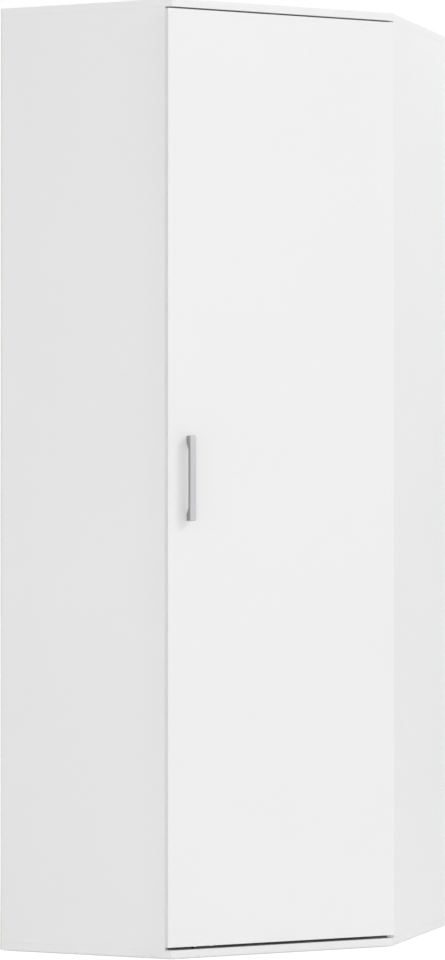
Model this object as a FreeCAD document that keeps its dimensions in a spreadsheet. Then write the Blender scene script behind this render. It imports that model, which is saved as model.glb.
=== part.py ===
import FreeCAD, Part

import os
import re
from collections import defaultdict

import Sketcher

# Corner wardrobe with one door across its diagonal front.
# The two backs stand on the room walls, at -X and at +Y. The left side panel faces -Y, the right
# side panel faces +X, and the door looks half way between them. The origin is on the floor, in the
# middle of the box that the closed wardrobe takes up.

# Driving dimensions in millimetres, one cell of the sheet each.
SIZES = {
    # Carcass boards
    "overall_height": 1990,
    "wall_length": 750,
    "side_depth": 390,
    "board": 16,
    "back_board": 3,
    "back_inset": 0.5,
    "post_width": 90,
    # Door and the gaps round it
    "door_top_gap": 4.5,
    "door_bottom_gap": 7,
    "door_proud": 6.5,
    "door_left_overhang": 11.5,
    "door_right_overhang": 3,
    "door_back_gap": 1,
    "door_swing_gap": 0.8,
    # Hat shelf and its supports
    "hat_space": 318,
    "shelf_setback": 45,
    "shelf_clearance": 0.5,
    "support_inset": 50,
    "support_peg_radius": 2.5,
    "support_peg_length": 9,
    "support_peg_clearance": 0.1,
    "support_tab_depth": 12,
    "support_tab_width": 14,
    "support_tab_height": 6,
    # Clothes rail and its hangers
    "rail_length": 600,
    "rail_setback": 300,
    "rail_drop": 60,
    "rail_radius": 12.5,
    "rail_wall": 1.2,
    "rail_clearance": 0.2,
    "rail_cap_flange": 2,
    "rail_cap_plug": 10,
    "hanger_inset": 40,
    "hanger_ring_wall": 3,
    "hanger_width": 12,
    "hanger_stem": 8,
    "hanger_base_length": 48,
    "hanger_base_thickness": 2.5,
    "hanger_screw_spacing": 32,
    # Wood screws, one kind for all plates and brackets
    "screw_radius": 1.75,
    "screw_length": 13,
    "screw_head_radius": 3.6,
    "screw_head_height": 2,
    "screw_clearance": 0.1,
    # Cam joints and dowels between the boards
    "fitting_inset": 60,
    "dowel_spacing": 32,
    "cam_radius": 7.5,
    "cam_depth": 12.5,
    "cam_edge_distance": 34,
    "cam_clearance": 0.1,
    "bolt_radius": 3.5,
    "bolt_thread_radius": 2.5,
    "bolt_thread_length": 10.5,
    "bolt_clearance": 0.1,
    "cover_radius": 8.5,
    "cover_height": 1.2,
    "dowel_radius": 4,
    "dowel_length": 30,
    "dowel_in_panel": 11,
    "dowel_clearance": 0.1,
    # Nails of the hardboard backs
    "nail_radius": 1.1,
    "nail_length": 16,
    "nail_head_radius": 2.2,
    "nail_head_height": 0.8,
    "nail_clearance": 0.1,
    "nail_margin": 150,
    # Glides under the bottom panel
    "glide_height": 2.5,
    "glide_radius": 11,
    "glide_pin_radius": 1.5,
    "glide_pin_length": 10,
    "glide_pin_clearance": 0.1,
    "glide_inset": 55,
    # Brackets that hold the wardrobe to the walls
    "bracket_leg": 40,
    "bracket_width": 30,
    "bracket_thickness": 2,
    "bracket_from_corner": 300,
    "bracket_screw_spacing": 16,
    "wall_hole_radius": 3,
    # Hinge cup in the door
    "hinge_margin": 100,
    "cup_radius": 17.5,
    "cup_wall": 1,
    "cup_edge_distance": 4,
    "cup_clearance": 0.1,
    "cup_floor_clearance": 0.4,
    "cup_side_clearance": 1.9,
    "cup_flange": 1,
    "cup_rim": 1.5,
    "cup_ear_length": 60,
    "cup_ear_width": 14,
    "cup_screw_spacing": 48,
    "cup_screw_offset": 6,
    # Hinge pin and the goose-neck arm that turns on it
    "pivot_from_back": 7.5,
    "pin_radius": 1.25,
    "pin_clearance": 0.08,
    "pin_seat_clearance": 0.05,
    "lug_width": 4.4,
    "lug_length": 4.5,
    "lug_gap": 0.5,
    "knuckle_wall": 1.25,
    "neck_clearance": 1.4,
    "neck_width": 10,
    "arm_swing_gap": 0.9,
    "arm_thickness": 2.8,
    "arm_width": 14,
    # Mounting plate of the hinge on the right side panel
    "plate_screw_line": 37,
    "plate_screw_spacing": 32,
    "plate_wing_length": 46,
    "plate_wing_width": 14,
    "plate_wing_thickness": 2,
    "plate_block_start": 8,
    "plate_block_length": 52,
    "plate_block_width": 12,
    "arm_screw_line": 50,
    "arm_screw_radius": 2.5,
    "arm_screw_end_gap": 0.4,
    "arm_screw_head_radius": 4.5,
    "arm_screw_head_height": 2.5,
    "arm_screw_clearance": 0.1,
    # Magnetic catches and strike plates
    "catch_from_edge": 90,
    "catch_length": 46,
    "catch_body_length": 28,
    "catch_depth": 14,
    "catch_height": 18,
    "catch_ear": 3,
    "catch_gap": 0.4,
    "magnet_length": 22,
    "magnet_depth": 5,
    "magnet_height": 6,
    "magnet_proud": 0.3,
    "magnet_clearance": 0.05,
    "strike_length": 56,
    "strike_height": 12,
    "strike_thickness": 1.5,
    "strike_edge_distance": 1,
    "strike_screw_spacing": 44,
    # Bow handle
    "handle_from_edge": 45.5,
    "handle_hole_spacing": 160,
    "handle_drop": 2.5,
    "handle_hole_margin": 8,
    "handle_foot": 12,
    "handle_sweep": 34,
    "handle_leg_inset": 2.2,
    "handle_width": 12,
    "handle_projection": 26,
    "handle_grip": 11,
    "handle_inner_radius": 40,
    "handle_outer_radius": 4,
    "handle_crown_radius": 2.5,
    "handle_screw_radius": 2,
    "handle_screw_head_radius": 4,
    "handle_screw_head_height": 2.6,
    "handle_screw_engagement": 10,
    "handle_screw_clearance": 0.1,
}

# Places and sizes that follow from the driving dimensions.
RULES = {
    # Plan of the carcass
    # The door's front corners reach past the outer faces of the side panels
    "left_reach": "(door_left_overhang + door_proud) * sqrt(0.5)",
    "right_reach": "(door_right_overhang + door_proud) * sqrt(0.5)",
    "wall_x": "-(wall_length + right_reach) / 2",
    "wall_y": "(wall_length + left_reach) / 2",
    "side_x": "wall_x + wall_length",
    "side_y": "wall_y - wall_length",
    "boards_left": "wall_x + back_board",
    "boards_back": "wall_y - back_board",
    "front_left_x": "wall_x + side_depth",
    "front_left_y": "side_y",
    "front_right_y": "wall_y - side_depth",
    "front_width": "(wall_length - side_depth) * sqrt(2)",
    "left_inner": "side_y + board",
    "right_inner": "side_x - board",
    "left_middle": "side_y + board / 2",
    "right_middle": "side_x - board / 2",
    "post_inner": "boards_left + board",
    "post_middle": "boards_left + board / 2",
    "post_front": "boards_back - post_width",
    # Heights
    "bottom_panel_top": "glide_height + board",
    "top_panel_bottom": "overall_height - board",
    "upright_length": "top_panel_bottom - bottom_panel_top",
    # Door, measured along the front line from its left corner and inward from that line
    "door_front": "-door_proud",
    "door_back": "board - door_proud",
    "door_left": "-door_left_overhang",
    "door_right": "front_width + door_right_overhang",
    "door_bottom": "bottom_panel_top + door_bottom_gap",
    "door_top": "top_panel_bottom - door_top_gap",
    "door_middle_height": "(door_bottom + door_top) / 2",
    # The side panels are cut square, with their outer corners just behind the closed door
    "panel_setback": "(door_back + door_back_gap) * sqrt(2)",
    "left_end": "front_left_x - panel_setback",
    # Hinge axis, and the circle that the door's edge sweeps about it
    "knuckle_radius": "pin_radius + pin_clearance + knuckle_wall",
    "pivot_from_edge": "cup_edge_distance + cup_wall + knuckle_radius + cup_side_clearance",
    "pivot_along": "door_right - pivot_from_edge",
    "pivot_in": "door_back - pivot_from_back",
    "pivot_x": "front_left_x + (pivot_along - pivot_in) * sqrt(0.5)",
    "pivot_y": "front_left_y + (pivot_along + pivot_in) * sqrt(0.5)",
    "swing_radius": "sqrt(pivot_from_edge^2 + max(pivot_from_back; board - pivot_from_back)^2)",
    "right_end": "max(front_right_y + panel_setback; pivot_y + swing_radius + door_swing_gap)",
    # Hinge cup, pin and arm
    "cup_depth": "pivot_from_back + knuckle_radius + cup_floor_clearance + cup_wall",
    "cup_along": "door_right - cup_edge_distance - cup_radius",
    "cup_inner_radius": "cup_radius - cup_wall",
    "cup_screw_along": "cup_along - cup_screw_offset",
    "cup_floor": "door_back - cup_depth",
    "lug_start": "neck_width / 2 + lug_gap",
    "pin_half_length": "lug_start + lug_length",
    "arm_line": "swing_radius + arm_swing_gap + arm_thickness / 2",
    "arm_x": "pivot_x - arm_line",
    "neck_reach": "pivot_from_back + cup_flange + neck_clearance + arm_thickness / 2",
    "neck_drop": "arm_line * sqrt(2) - neck_reach",
    "neck_along": "pivot_along - neck_reach",
    "plate_height": "right_inner - arm_x - arm_thickness / 2",
    "plate_back": "right_end + plate_block_start + plate_block_length",
    "arm_hole_length": "arm_thickness + plate_height",
    "arm_screw_length": "arm_hole_length - arm_screw_end_gap",
    # Hat shelf and rail
    "shelf_height": "top_panel_bottom - hat_space - board",
    "shelf_left": "left_inner + shelf_clearance",
    "shelf_right": "right_inner - shelf_clearance",
    "shelf_back": "boards_back - shelf_clearance",
    "shelf_front_x": "front_left_x + shelf_left - front_left_y - shelf_setback * sqrt(2)",
    "shelf_front_y": "front_left_y + shelf_right - front_left_x + shelf_setback * sqrt(2)",
    "rail_height": "shelf_height - rail_drop",
    "rail_start": "(front_width - rail_length) / 2",
    "rail_end": "rail_start + rail_length",
    # Catches
    "catch_along": "door_left + catch_from_edge",
    "strike_back": "door_back + strike_thickness",
    "magnet_front": "strike_back + catch_gap",
    "catch_front": "magnet_front + magnet_proud",
    # Handle
    "handle_along": "door_left + handle_from_edge",
    "handle_length": "handle_hole_spacing + 2 * handle_hole_margin",
    "handle_height": "door_middle_height - handle_drop",
    "handle_screw_length": "board + handle_screw_engagement",
}

HINGE_COUNT = 4
NAILS_UPRIGHT = 6
NAILS_ACROSS = 3

X_AXIS = FreeCAD.Vector(1, 0, 0)
Y_AXIS = FreeCAD.Vector(0, 1, 0)
Z_AXIS = FreeCAD.Vector(0, 0, 1)

# Turns that point a piece's own Z axis a given way.
UPWARD = FreeCAD.Rotation()
DOWNWARD = FreeCAD.Rotation(X_AXIS, 180)
TO_PLUS_X = FreeCAD.Rotation(Y_AXIS, 90)
TO_MINUS_X = FreeCAD.Rotation(Y_AXIS, -90)
TO_PLUS_Y = FreeCAD.Rotation(X_AXIS, -90)
TO_MINUS_Y = FreeCAD.Rotation(X_AXIS, 90)

# The front line runs at 45 degrees: a piece turned so has X along the line and Y inward.
FRONT = FreeCAD.Rotation(Z_AXIS, 45)
FRONT_INWARD = FRONT * TO_PLUS_Y
FRONT_OUTWARD = FRONT * TO_MINUS_Y
FRONT_ALONG = FRONT * TO_PLUS_X
FRONT_BACKWARD = FRONT * TO_MINUS_X

NAME_IN_FORMULA = re.compile(r"[a-z][a-z_]*")

doc = FreeCAD.newDocument("corner_wardrobe")
sheet = doc.addObject("Spreadsheet::Sheet", "Sizes")
for row, (size_name, size_value) in enumerate(SIZES.items(), start=1):
    sheet.set(f"A{row}", size_name)
    sheet.set(f"B{row}", str(size_value))
    sheet.setAlias(f"B{row}", size_name)
doc.recompute()

nodes = []
bores = defaultdict(list)


def expression(formula):
    """Spell out the names of SIZES and RULES in a formula, as an expression on the sheet."""

    def spell_out(match):
        word = match.group(0)
        if word in RULES:
            return "(" + expression(RULES[word]) + ")"
        if word in SIZES:
            return "Sizes." + word
        return word

    return NAME_IN_FORMULA.sub(spell_out, str(formula))


def value(formula):
    """Number that a formula has at the sizes in the sheet."""
    return float(sheet.evalExpression(expression(formula)))


def bind(item, **formulas):
    """Bind properties of an object to formulas."""
    for property_name, formula in formulas.items():
        item.setExpression(property_name, expression(formula))


def place(item, at, turn=UPWARD):
    """Turn an object and bind its position to three formulas."""
    item.Placement = FreeCAD.Placement(FreeCAD.Vector(), turn)
    for axis, formula in zip("xyz", at):
        item.setExpression(f"Placement.Base.{axis}", expression(formula))
    return item


def front(along, inward, height):
    """Position given along the front line, inward from it and above the floor."""
    return (
        f"front_left_x + (({along}) - ({inward})) * sqrt(0.5)",
        f"front_left_y + (({along}) + ({inward})) * sqrt(0.5)",
        height,
    )


def box(name, size, at, turn=UPWARD):
    """Box with its least corner at a position."""
    item = doc.addObject("Part::Box", name)
    bind(item, Length=size[0], Width=size[1], Height=size[2])
    return place(item, at, turn)


def cylinder(name, radius, length, at=("0", "0", "0"), turn=UPWARD):
    """Cylinder that starts at a position and runs along its own Z axis."""
    item = doc.addObject("Part::Cylinder", name)
    bind(item, Radius=radius, Height=length)
    return place(item, at, turn)


def fuse(name, pieces):
    """Union of pieces that overlap or touch."""
    item = doc.addObject("Part::MultiFuse", name)
    item.Shapes = pieces
    item.Refine = True
    return item


def group(name, pieces):
    """Separate solids kept together."""
    item = doc.addObject("Part::Compound", name)
    item.Links = pieces
    return item


def cut(name, base, tools):
    """Base with tools taken away."""
    item = doc.addObject("Part::Cut", name)
    item.Base = base
    item.Tool = group(name + "_tools", tools)
    return item


def copies(name, master, places):
    """One copy of a master for each pair of a position and a turn."""
    links = []
    for at, turn in places:
        link = doc.addObject("App::Link", name)
        link.LinkedObject = master
        link.LinkTransform = True
        links.append(place(link, at, turn))
    return links


def node(item, name):
    """Name an object as a piece of the wardrobe."""
    item.Label = name
    nodes.append(item)
    return item


def prism_body(name, points, length, at=("0", "0", "0"), turn=UPWARD):
    """Body padded from a sketch whose corners are bound to formulas."""
    body = doc.addObject("PartDesign::Body", name + "_body")
    sketch = body.newObject("Sketcher::SketchObject", name + "_outline")
    plane = next(part for part in body.Origin.OriginFeatures if part.Role == "XY_Plane")
    sketch.AttachmentSupport = [(plane, "")]
    sketch.MapMode = "FlatFace"
    corners = [FreeCAD.Vector(value(x), value(y), 0) for x, y in points]
    count = len(corners)
    for index, corner in enumerate(corners):
        sketch.addGeometry(Part.LineSegment(corner, corners[(index + 1) % count]))
    for index in range(count):
        sketch.addConstraint(Sketcher.Constraint("Coincident", index, 2, (index + 1) % count, 1))
    for index, (x, y) in enumerate(points):
        for kind, number, formula in (
            ("DistanceX", corners[index].x, x),
            ("DistanceY", corners[index].y, y),
        ):
            rule = sketch.addConstraint(Sketcher.Constraint(kind, -1, 1, index, 1, number))
            sketch.setExpression(f"Constraints[{rule}]", expression(formula))
    pad = body.newObject("PartDesign::Pad", name + "_pad")
    pad.Profile = sketch
    bind(pad, Length=length)
    place(body, at, turn)
    return body


def spread(start, end, count):
    """Formulas for evenly spaced places from start to end."""
    return [f"({start}) + (({end}) - ({start})) * {index} / {count - 1}" for index in range(count)]


def make_screw_master(name, radius, length, head_radius, head_height):
    """Screw along +Z whose head rests on the plane of its origin."""
    shank = cylinder(name + "_shank", radius, length)
    head = cylinder(name + "_head", head_radius, head_height, ("0", "0", f"-({head_height})"))
    return fuse(name + "_master", [shank, head])


def make_bore_master(name, radius, length, clearance):
    """Hole along +Z for a screw or peg, longer and wider by a clearance."""
    return cylinder(name + "_bore_master", f"{radius} + {clearance}", f"{length} + {clearance}")


wood_screw = make_screw_master(
    "wood_screw", "screw_radius", "screw_length", "screw_head_radius", "screw_head_height"
)
wood_screw_bore = make_bore_master("wood_screw", "screw_radius", "screw_length", "screw_clearance")


def wood_screws(name, places, targets):
    """Wood screws as one node, with their holes in each target."""
    node(group(name, copies(name + "_copy", wood_screw, places)), name)
    for target in targets:
        bores[target] += copies(name + "_bore", wood_screw_bore, places)


def drilled(name, base):
    """Board or plate with the holes that were asked for it."""
    return node(cut(name, base, bores[name]), name)


def build_cam_joints():
    """Cam locks, bolts, covers and dowels at both ends of the three upright boards."""
    bolt_shank = cylinder(
        "bolt_shank", "bolt_radius", "cam_edge_distance", ("0", "0", "-cam_edge_distance")
    )
    bolt_thread = cylinder("bolt_thread", "bolt_thread_radius", "bolt_thread_length")
    bolt = fuse("cam_bolt_master", [bolt_shank, bolt_thread])
    bolt_edge_bore = cylinder(
        "bolt_edge_bore_master",
        "bolt_radius + bolt_clearance",
        "cam_edge_distance",
        ("0", "0", "-cam_edge_distance"),
    )
    thread_bore = make_bore_master(
        "bolt_thread", "bolt_thread_radius", "bolt_thread_length", "bolt_clearance"
    )
    cam_blank = cylinder("cam_blank", "cam_radius", "cam_depth")
    cam_slot = cylinder(
        "cam_slot",
        "bolt_radius + bolt_clearance",
        "2 * cam_radius",
        ("-bolt_clearance", "0", "board / 2"),
        TO_PLUS_X,
    )
    cam = cut("cam_lock_master", cam_blank, [cam_slot])
    cam_bore = make_bore_master("cam", "cam_radius", "cam_depth", "cam_clearance")
    cover = cylinder("cover_master", "cover_radius", "cover_height", ("0", "0", "-cover_height"))
    dowel = cylinder("dowel_master", "dowel_radius", "dowel_length", ("0", "0", "dowel_in_panel - dowel_length"))
    dowel_bore = cylinder(
        "dowel_bore_master",
        "dowel_radius + dowel_clearance",
        "dowel_length + 2 * dowel_clearance",
        ("0", "0", "dowel_in_panel - dowel_length - dowel_clearance"),
    )
    # Each upright: its name, the way into the board from its inner face, cam places, dowel places.
    uprights = (
        (
            "left_side_panel",
            -Y_AXIS,
            [("boards_left + fitting_inset", "left_middle"), ("left_end - fitting_inset", "left_middle")],
            [
                ("boards_left + fitting_inset + dowel_spacing", "left_middle"),
                ("left_end - fitting_inset - dowel_spacing", "left_middle"),
            ],
        ),
        (
            "right_side_panel",
            X_AXIS,
            [("right_middle", "right_end + fitting_inset"), ("right_middle", "boards_back - fitting_inset")],
            [
                ("right_middle", "right_end + fitting_inset + dowel_spacing"),
                ("right_middle", "boards_back - fitting_inset - dowel_spacing"),
            ],
        ),
        (
            "corner_post",
            -X_AXIS,
            [("post_middle", "boards_back - fitting_inset")],
            [("post_middle", "boards_back - fitting_inset + dowel_spacing")],
        ),
    )
    # Each end: the panel there, the joint's height, the way to the panel, and the turn that points it.
    ends = (
        ("top_panel", "top_panel_bottom", 1, UPWARD),
        ("bottom_panel", "bottom_panel_top", -1, DOWNWARD),
    )
    cams, covers, bolts, dowels = [], [], [], []
    for upright, into, cam_places, dowel_places in uprights:
        for panel, joint_height, way, turn in ends:
            bolt_places = [((x, y, joint_height), turn) for x, y in cam_places]
            cam_turn = FreeCAD.Rotation(Z_AXIS * way, into.cross(Z_AXIS * way), into, "ZXY")
            face_places = []
            for x, y in cam_places:
                at = (
                    f"{x} - ({into.x}) * board / 2",
                    f"{y} - ({into.y}) * board / 2",
                    f"{joint_height} - ({way}) * cam_edge_distance",
                )
                face_places.append((at, cam_turn))
            peg_places = [((x, y, joint_height), turn) for x, y in dowel_places]
            bolts += copies("cam_bolt", bolt, bolt_places)
            cams += copies("cam_lock", cam, face_places)
            covers += copies("cam_cover", cover, face_places)
            dowels += copies("dowel", dowel, peg_places)
            bores[upright] += copies("bolt_edge_bore", bolt_edge_bore, bolt_places)
            bores[upright] += copies("cam_bore", cam_bore, face_places)
            bores[upright] += copies("dowel_bore", dowel_bore, peg_places)
            bores[panel] += copies("bolt_thread_bore", thread_bore, bolt_places)
            bores[panel] += copies("dowel_bore", dowel_bore, peg_places)
    node(group("cam_locks", cams), "cam_locks")
    node(group("cam_bolts", bolts), "cam_bolts")
    node(group("cam_covers", covers), "cam_covers")
    node(group("dowels", dowels), "dowels")


def build_back_nails():
    """Nails through the two hardboard backs into the edges and the post behind them."""
    nail = fuse(
        "nail_master",
        [
            cylinder("nail_shank", "nail_radius", "nail_length"),
            cylinder("nail_head", "nail_head_radius", "nail_head_height"),
        ],
    )
    nail_bore = fuse(
        "nail_bore_master",
        [
            cylinder("nail_shank_bore", "nail_radius + nail_clearance", "nail_length + nail_clearance"),
            cylinder(
                "nail_head_bore", "nail_head_radius + nail_clearance", "nail_head_height + nail_clearance"
            ),
        ],
    )
    heights = spread("bottom_panel_top + nail_margin", "top_panel_bottom - nail_margin", NAILS_UPRIGHT)
    along_left = spread("side_y + nail_margin", "wall_y - nail_margin", NAILS_ACROSS)
    along_right = spread("wall_x + nail_margin", "side_x - nail_margin", NAILS_ACROSS)
    top_edge = "overall_height - board / 2"
    bottom_edge = "glide_height + board / 2"
    left = {
        "left_side_panel": [("wall_x", "left_middle", height) for height in heights],
        "corner_post": [("wall_x", "boards_back - post_width / 2", height) for height in heights],
        "top_panel": [("wall_x", y, top_edge) for y in along_left],
        "bottom_panel": [("wall_x", y, bottom_edge) for y in along_left],
    }
    right = {
        "right_side_panel": [("right_middle", "wall_y", height) for height in heights],
        "corner_post": [("post_middle", "wall_y", height) for height in heights],
        "top_panel": [(x, "wall_y", top_edge) for x in along_right],
        "bottom_panel": [(x, "wall_y", bottom_edge) for x in along_right],
    }
    nails = []
    for back, rows, turn in (
        ("left_back_panel", left, TO_PLUS_X),
        ("right_back_panel", right, TO_MINUS_Y),
    ):
        for board, spots in rows.items():
            places = [(at, turn) for at in spots]
            nails += copies("back_nail", nail, places)
            bores[back] += copies("nail_bore", nail_bore, places)
            bores[board] += copies("nail_bore", nail_bore, places)
    node(group("back_nails", nails), "back_nails")


def build_glides():
    """Nail-on glides near the corners of the bottom panel."""
    corners = (
        ("boards_left + glide_inset", "side_y + glide_inset"),
        ("left_end - glide_inset", "side_y + glide_inset"),
        ("side_x - glide_inset", "right_end + glide_inset"),
        ("side_x - glide_inset", "boards_back - glide_inset"),
        ("boards_left + glide_inset", "boards_back - glide_inset"),
    )
    pin_bore = make_bore_master("glide_pin", "glide_pin_radius", "glide_pin_length", "glide_pin_clearance")
    for number, (x, y) in enumerate(corners, start=1):
        foot = cylinder(f"glide_foot_{number}", "glide_radius", "glide_height", (x, y, "0"))
        pin = cylinder(
            f"glide_pin_{number}",
            "glide_pin_radius",
            "glide_height + glide_pin_length",
            (x, y, "0"),
        )
        node(fuse(f"glide_{number}", [foot, pin]), f"glide_{number}")
        bores["bottom_panel"] += copies("glide_bore", pin_bore, [((x, y, "glide_height"), UPWARD)])


def build_wall_brackets():
    """Steel angles under the top panel, each with a hole through the back for a wall screw."""
    leg = "bracket_leg"
    thick = "bracket_thickness"
    wide = "bracket_width"
    along = "boards_back - bracket_from_corner"
    across = "boards_left + bracket_from_corner"
    under = f"top_panel_bottom - {thick}"
    low = f"top_panel_bottom - {leg}"
    hole_height = f"top_panel_bottom - {leg} / 2"
    wall_hole = cylinder(
        "wall_hole_master", "wall_hole_radius", f"back_board + 2 * {thick}", ("0", "0", f"-{thick} / 2")
    )
    left_hole = [(("wall_x", along, hole_height), TO_PLUS_X)]
    right_hole = [((across, "wall_y", hole_height), TO_MINUS_Y)]
    left = fuse(
        "left_bracket_blank",
        [
            box("left_bracket_top", (leg, wide, thick), ("boards_left", f"{along} - {wide} / 2", under)),
            box("left_bracket_wall", (thick, wide, leg), ("boards_left", f"{along} - {wide} / 2", low)),
        ],
    )
    right = fuse(
        "right_bracket_blank",
        [
            box("right_bracket_top", (wide, leg, thick), (f"{across} - {wide} / 2", f"boards_back - {leg}", under)),
            box("right_bracket_wall", (wide, thick, leg), (f"{across} - {wide} / 2", f"boards_back - {thick}", low)),
        ],
    )
    screws_left, screws_right = [], []
    for offset in (f"({leg} - bracket_screw_spacing) / 2", f"({leg} + bracket_screw_spacing) / 2"):
        screws_left.append(((f"boards_left + {offset}", along, under), UPWARD))
        screws_right.append(((across, f"boards_back - {offset}", under), UPWARD))
    bores["left_wall_bracket"] += copies("bracket_bore", wood_screw_bore, screws_left)
    bores["right_wall_bracket"] += copies("bracket_bore", wood_screw_bore, screws_right)
    wood_screws("wall_bracket_screws", screws_left + screws_right, ["top_panel"])
    for bracket, back, hole in (
        ("left_wall_bracket", "left_back_panel", left_hole),
        ("right_wall_bracket", "right_back_panel", right_hole),
    ):
        bores[bracket] += copies("bracket_wall_hole", wall_hole, hole)
        bores[back] += copies("back_wall_hole", wall_hole, hole)
    drilled("left_wall_bracket", left)
    drilled("right_wall_bracket", right)


def build_shelf_supports():
    """Pegs with a flat tab that the hat shelf lies on."""
    peg = cylinder("support_peg", "support_peg_radius", "support_peg_length")
    tab = box(
        "support_tab",
        ("support_tab_height", "support_tab_width", "support_tab_depth"),
        ("support_peg_radius - support_tab_height", "-support_tab_width / 2", "-support_tab_depth"),
    )
    support = fuse("shelf_support_master", [peg, tab])
    peg_bore = make_bore_master(
        "support_peg", "support_peg_radius", "support_peg_length", "support_peg_clearance"
    )
    height = "shelf_height - support_peg_radius"
    rows = (
        (
            "left_side_panel",
            -Y_AXIS,
            [
                ("boards_left + support_inset", "left_inner", height),
                ("shelf_front_x - support_inset", "left_inner", height),
            ],
        ),
        (
            "right_side_panel",
            X_AXIS,
            [
                ("right_inner", "boards_back - support_inset", height),
                ("right_inner", "shelf_front_y + support_inset", height),
            ],
        ),
        ("corner_post", -X_AXIS, [("post_inner", "boards_back - support_inset", height)]),
    )
    supports = []
    for board, into, spots in rows:
        turn = FreeCAD.Rotation(Z_AXIS, into.cross(Z_AXIS), into, "ZXY")
        places = [(at, turn) for at in spots]
        supports += copies("shelf_support", support, places)
        bores[board] += copies("support_bore", peg_bore, places)
    node(group("shelf_supports", supports), "shelf_supports")


def build_clothes_rail():
    """Tube parallel to the door, hung under the hat shelf by two hangers."""
    start = front("rail_start", "rail_setback", "rail_height")
    end = front("rail_end", "rail_setback", "rail_height")
    tube = cylinder("rail_tube", "rail_radius", "rail_length", start, FRONT_ALONG)
    hollow = cylinder("rail_hollow", "rail_radius - rail_wall", "rail_length", start, FRONT_ALONG)
    node(cut("clothes_rail", tube, [hollow]), "clothes_rail")
    plug_radius = "rail_radius - rail_wall - rail_clearance"
    caps = []
    for name, at, inward, outward in (
        ("left", start, FRONT_ALONG, FRONT_BACKWARD),
        ("right", end, FRONT_BACKWARD, FRONT_ALONG),
    ):
        plug = cylinder(f"rail_cap_plug_{name}", plug_radius, "rail_cap_plug", at, inward)
        flange = cylinder(f"rail_cap_flange_{name}", "rail_radius", "rail_cap_flange", at, outward)
        caps.append(fuse(f"rail_cap_{name}", [plug, flange]))
    node(group("rail_end_caps", caps), "rail_end_caps")

    ring_radius = "rail_radius + rail_clearance + hanger_ring_wall"
    screws = []
    for name, middle in (
        ("left", "rail_start + hanger_inset"),
        ("right", "rail_end - hanger_inset"),
    ):
        ring_start = front(f"{middle} - hanger_width / 2", "rail_setback", "rail_height")
        ring = cylinder(f"hanger_ring_{name}", ring_radius, "hanger_width", ring_start, FRONT_ALONG)
        stem = box(
            f"hanger_stem_{name}",
            ("hanger_width", "hanger_stem", "rail_drop"),
            front(f"{middle} - hanger_width / 2", "rail_setback - hanger_stem / 2", "rail_height"),
            FRONT,
        )
        base = box(
            f"hanger_base_{name}",
            ("hanger_base_length", "hanger_width", "hanger_base_thickness"),
            front(
                f"{middle} - hanger_base_length / 2",
                "rail_setback - hanger_width / 2",
                "shelf_height - hanger_base_thickness",
            ),
            FRONT,
        )
        hanger = f"rail_hanger_{name}"
        eye = cylinder(
            f"hanger_eye_{name}", "rail_radius + rail_clearance", "hanger_width", ring_start, FRONT_ALONG
        )
        places = []
        for side in ("-", "+"):
            at = front(
                f"{middle} {side} hanger_screw_spacing / 2",
                "rail_setback",
                "shelf_height - hanger_base_thickness",
            )
            places.append((at, UPWARD))
        bores[hanger] += [eye] + copies("hanger_bore", wood_screw_bore, places)
        screws += places
        drilled(hanger, fuse(f"hanger_blank_{name}", [ring, stem, base]))
    wood_screws("rail_hanger_screws", screws, ["hat_shelf"])


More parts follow.
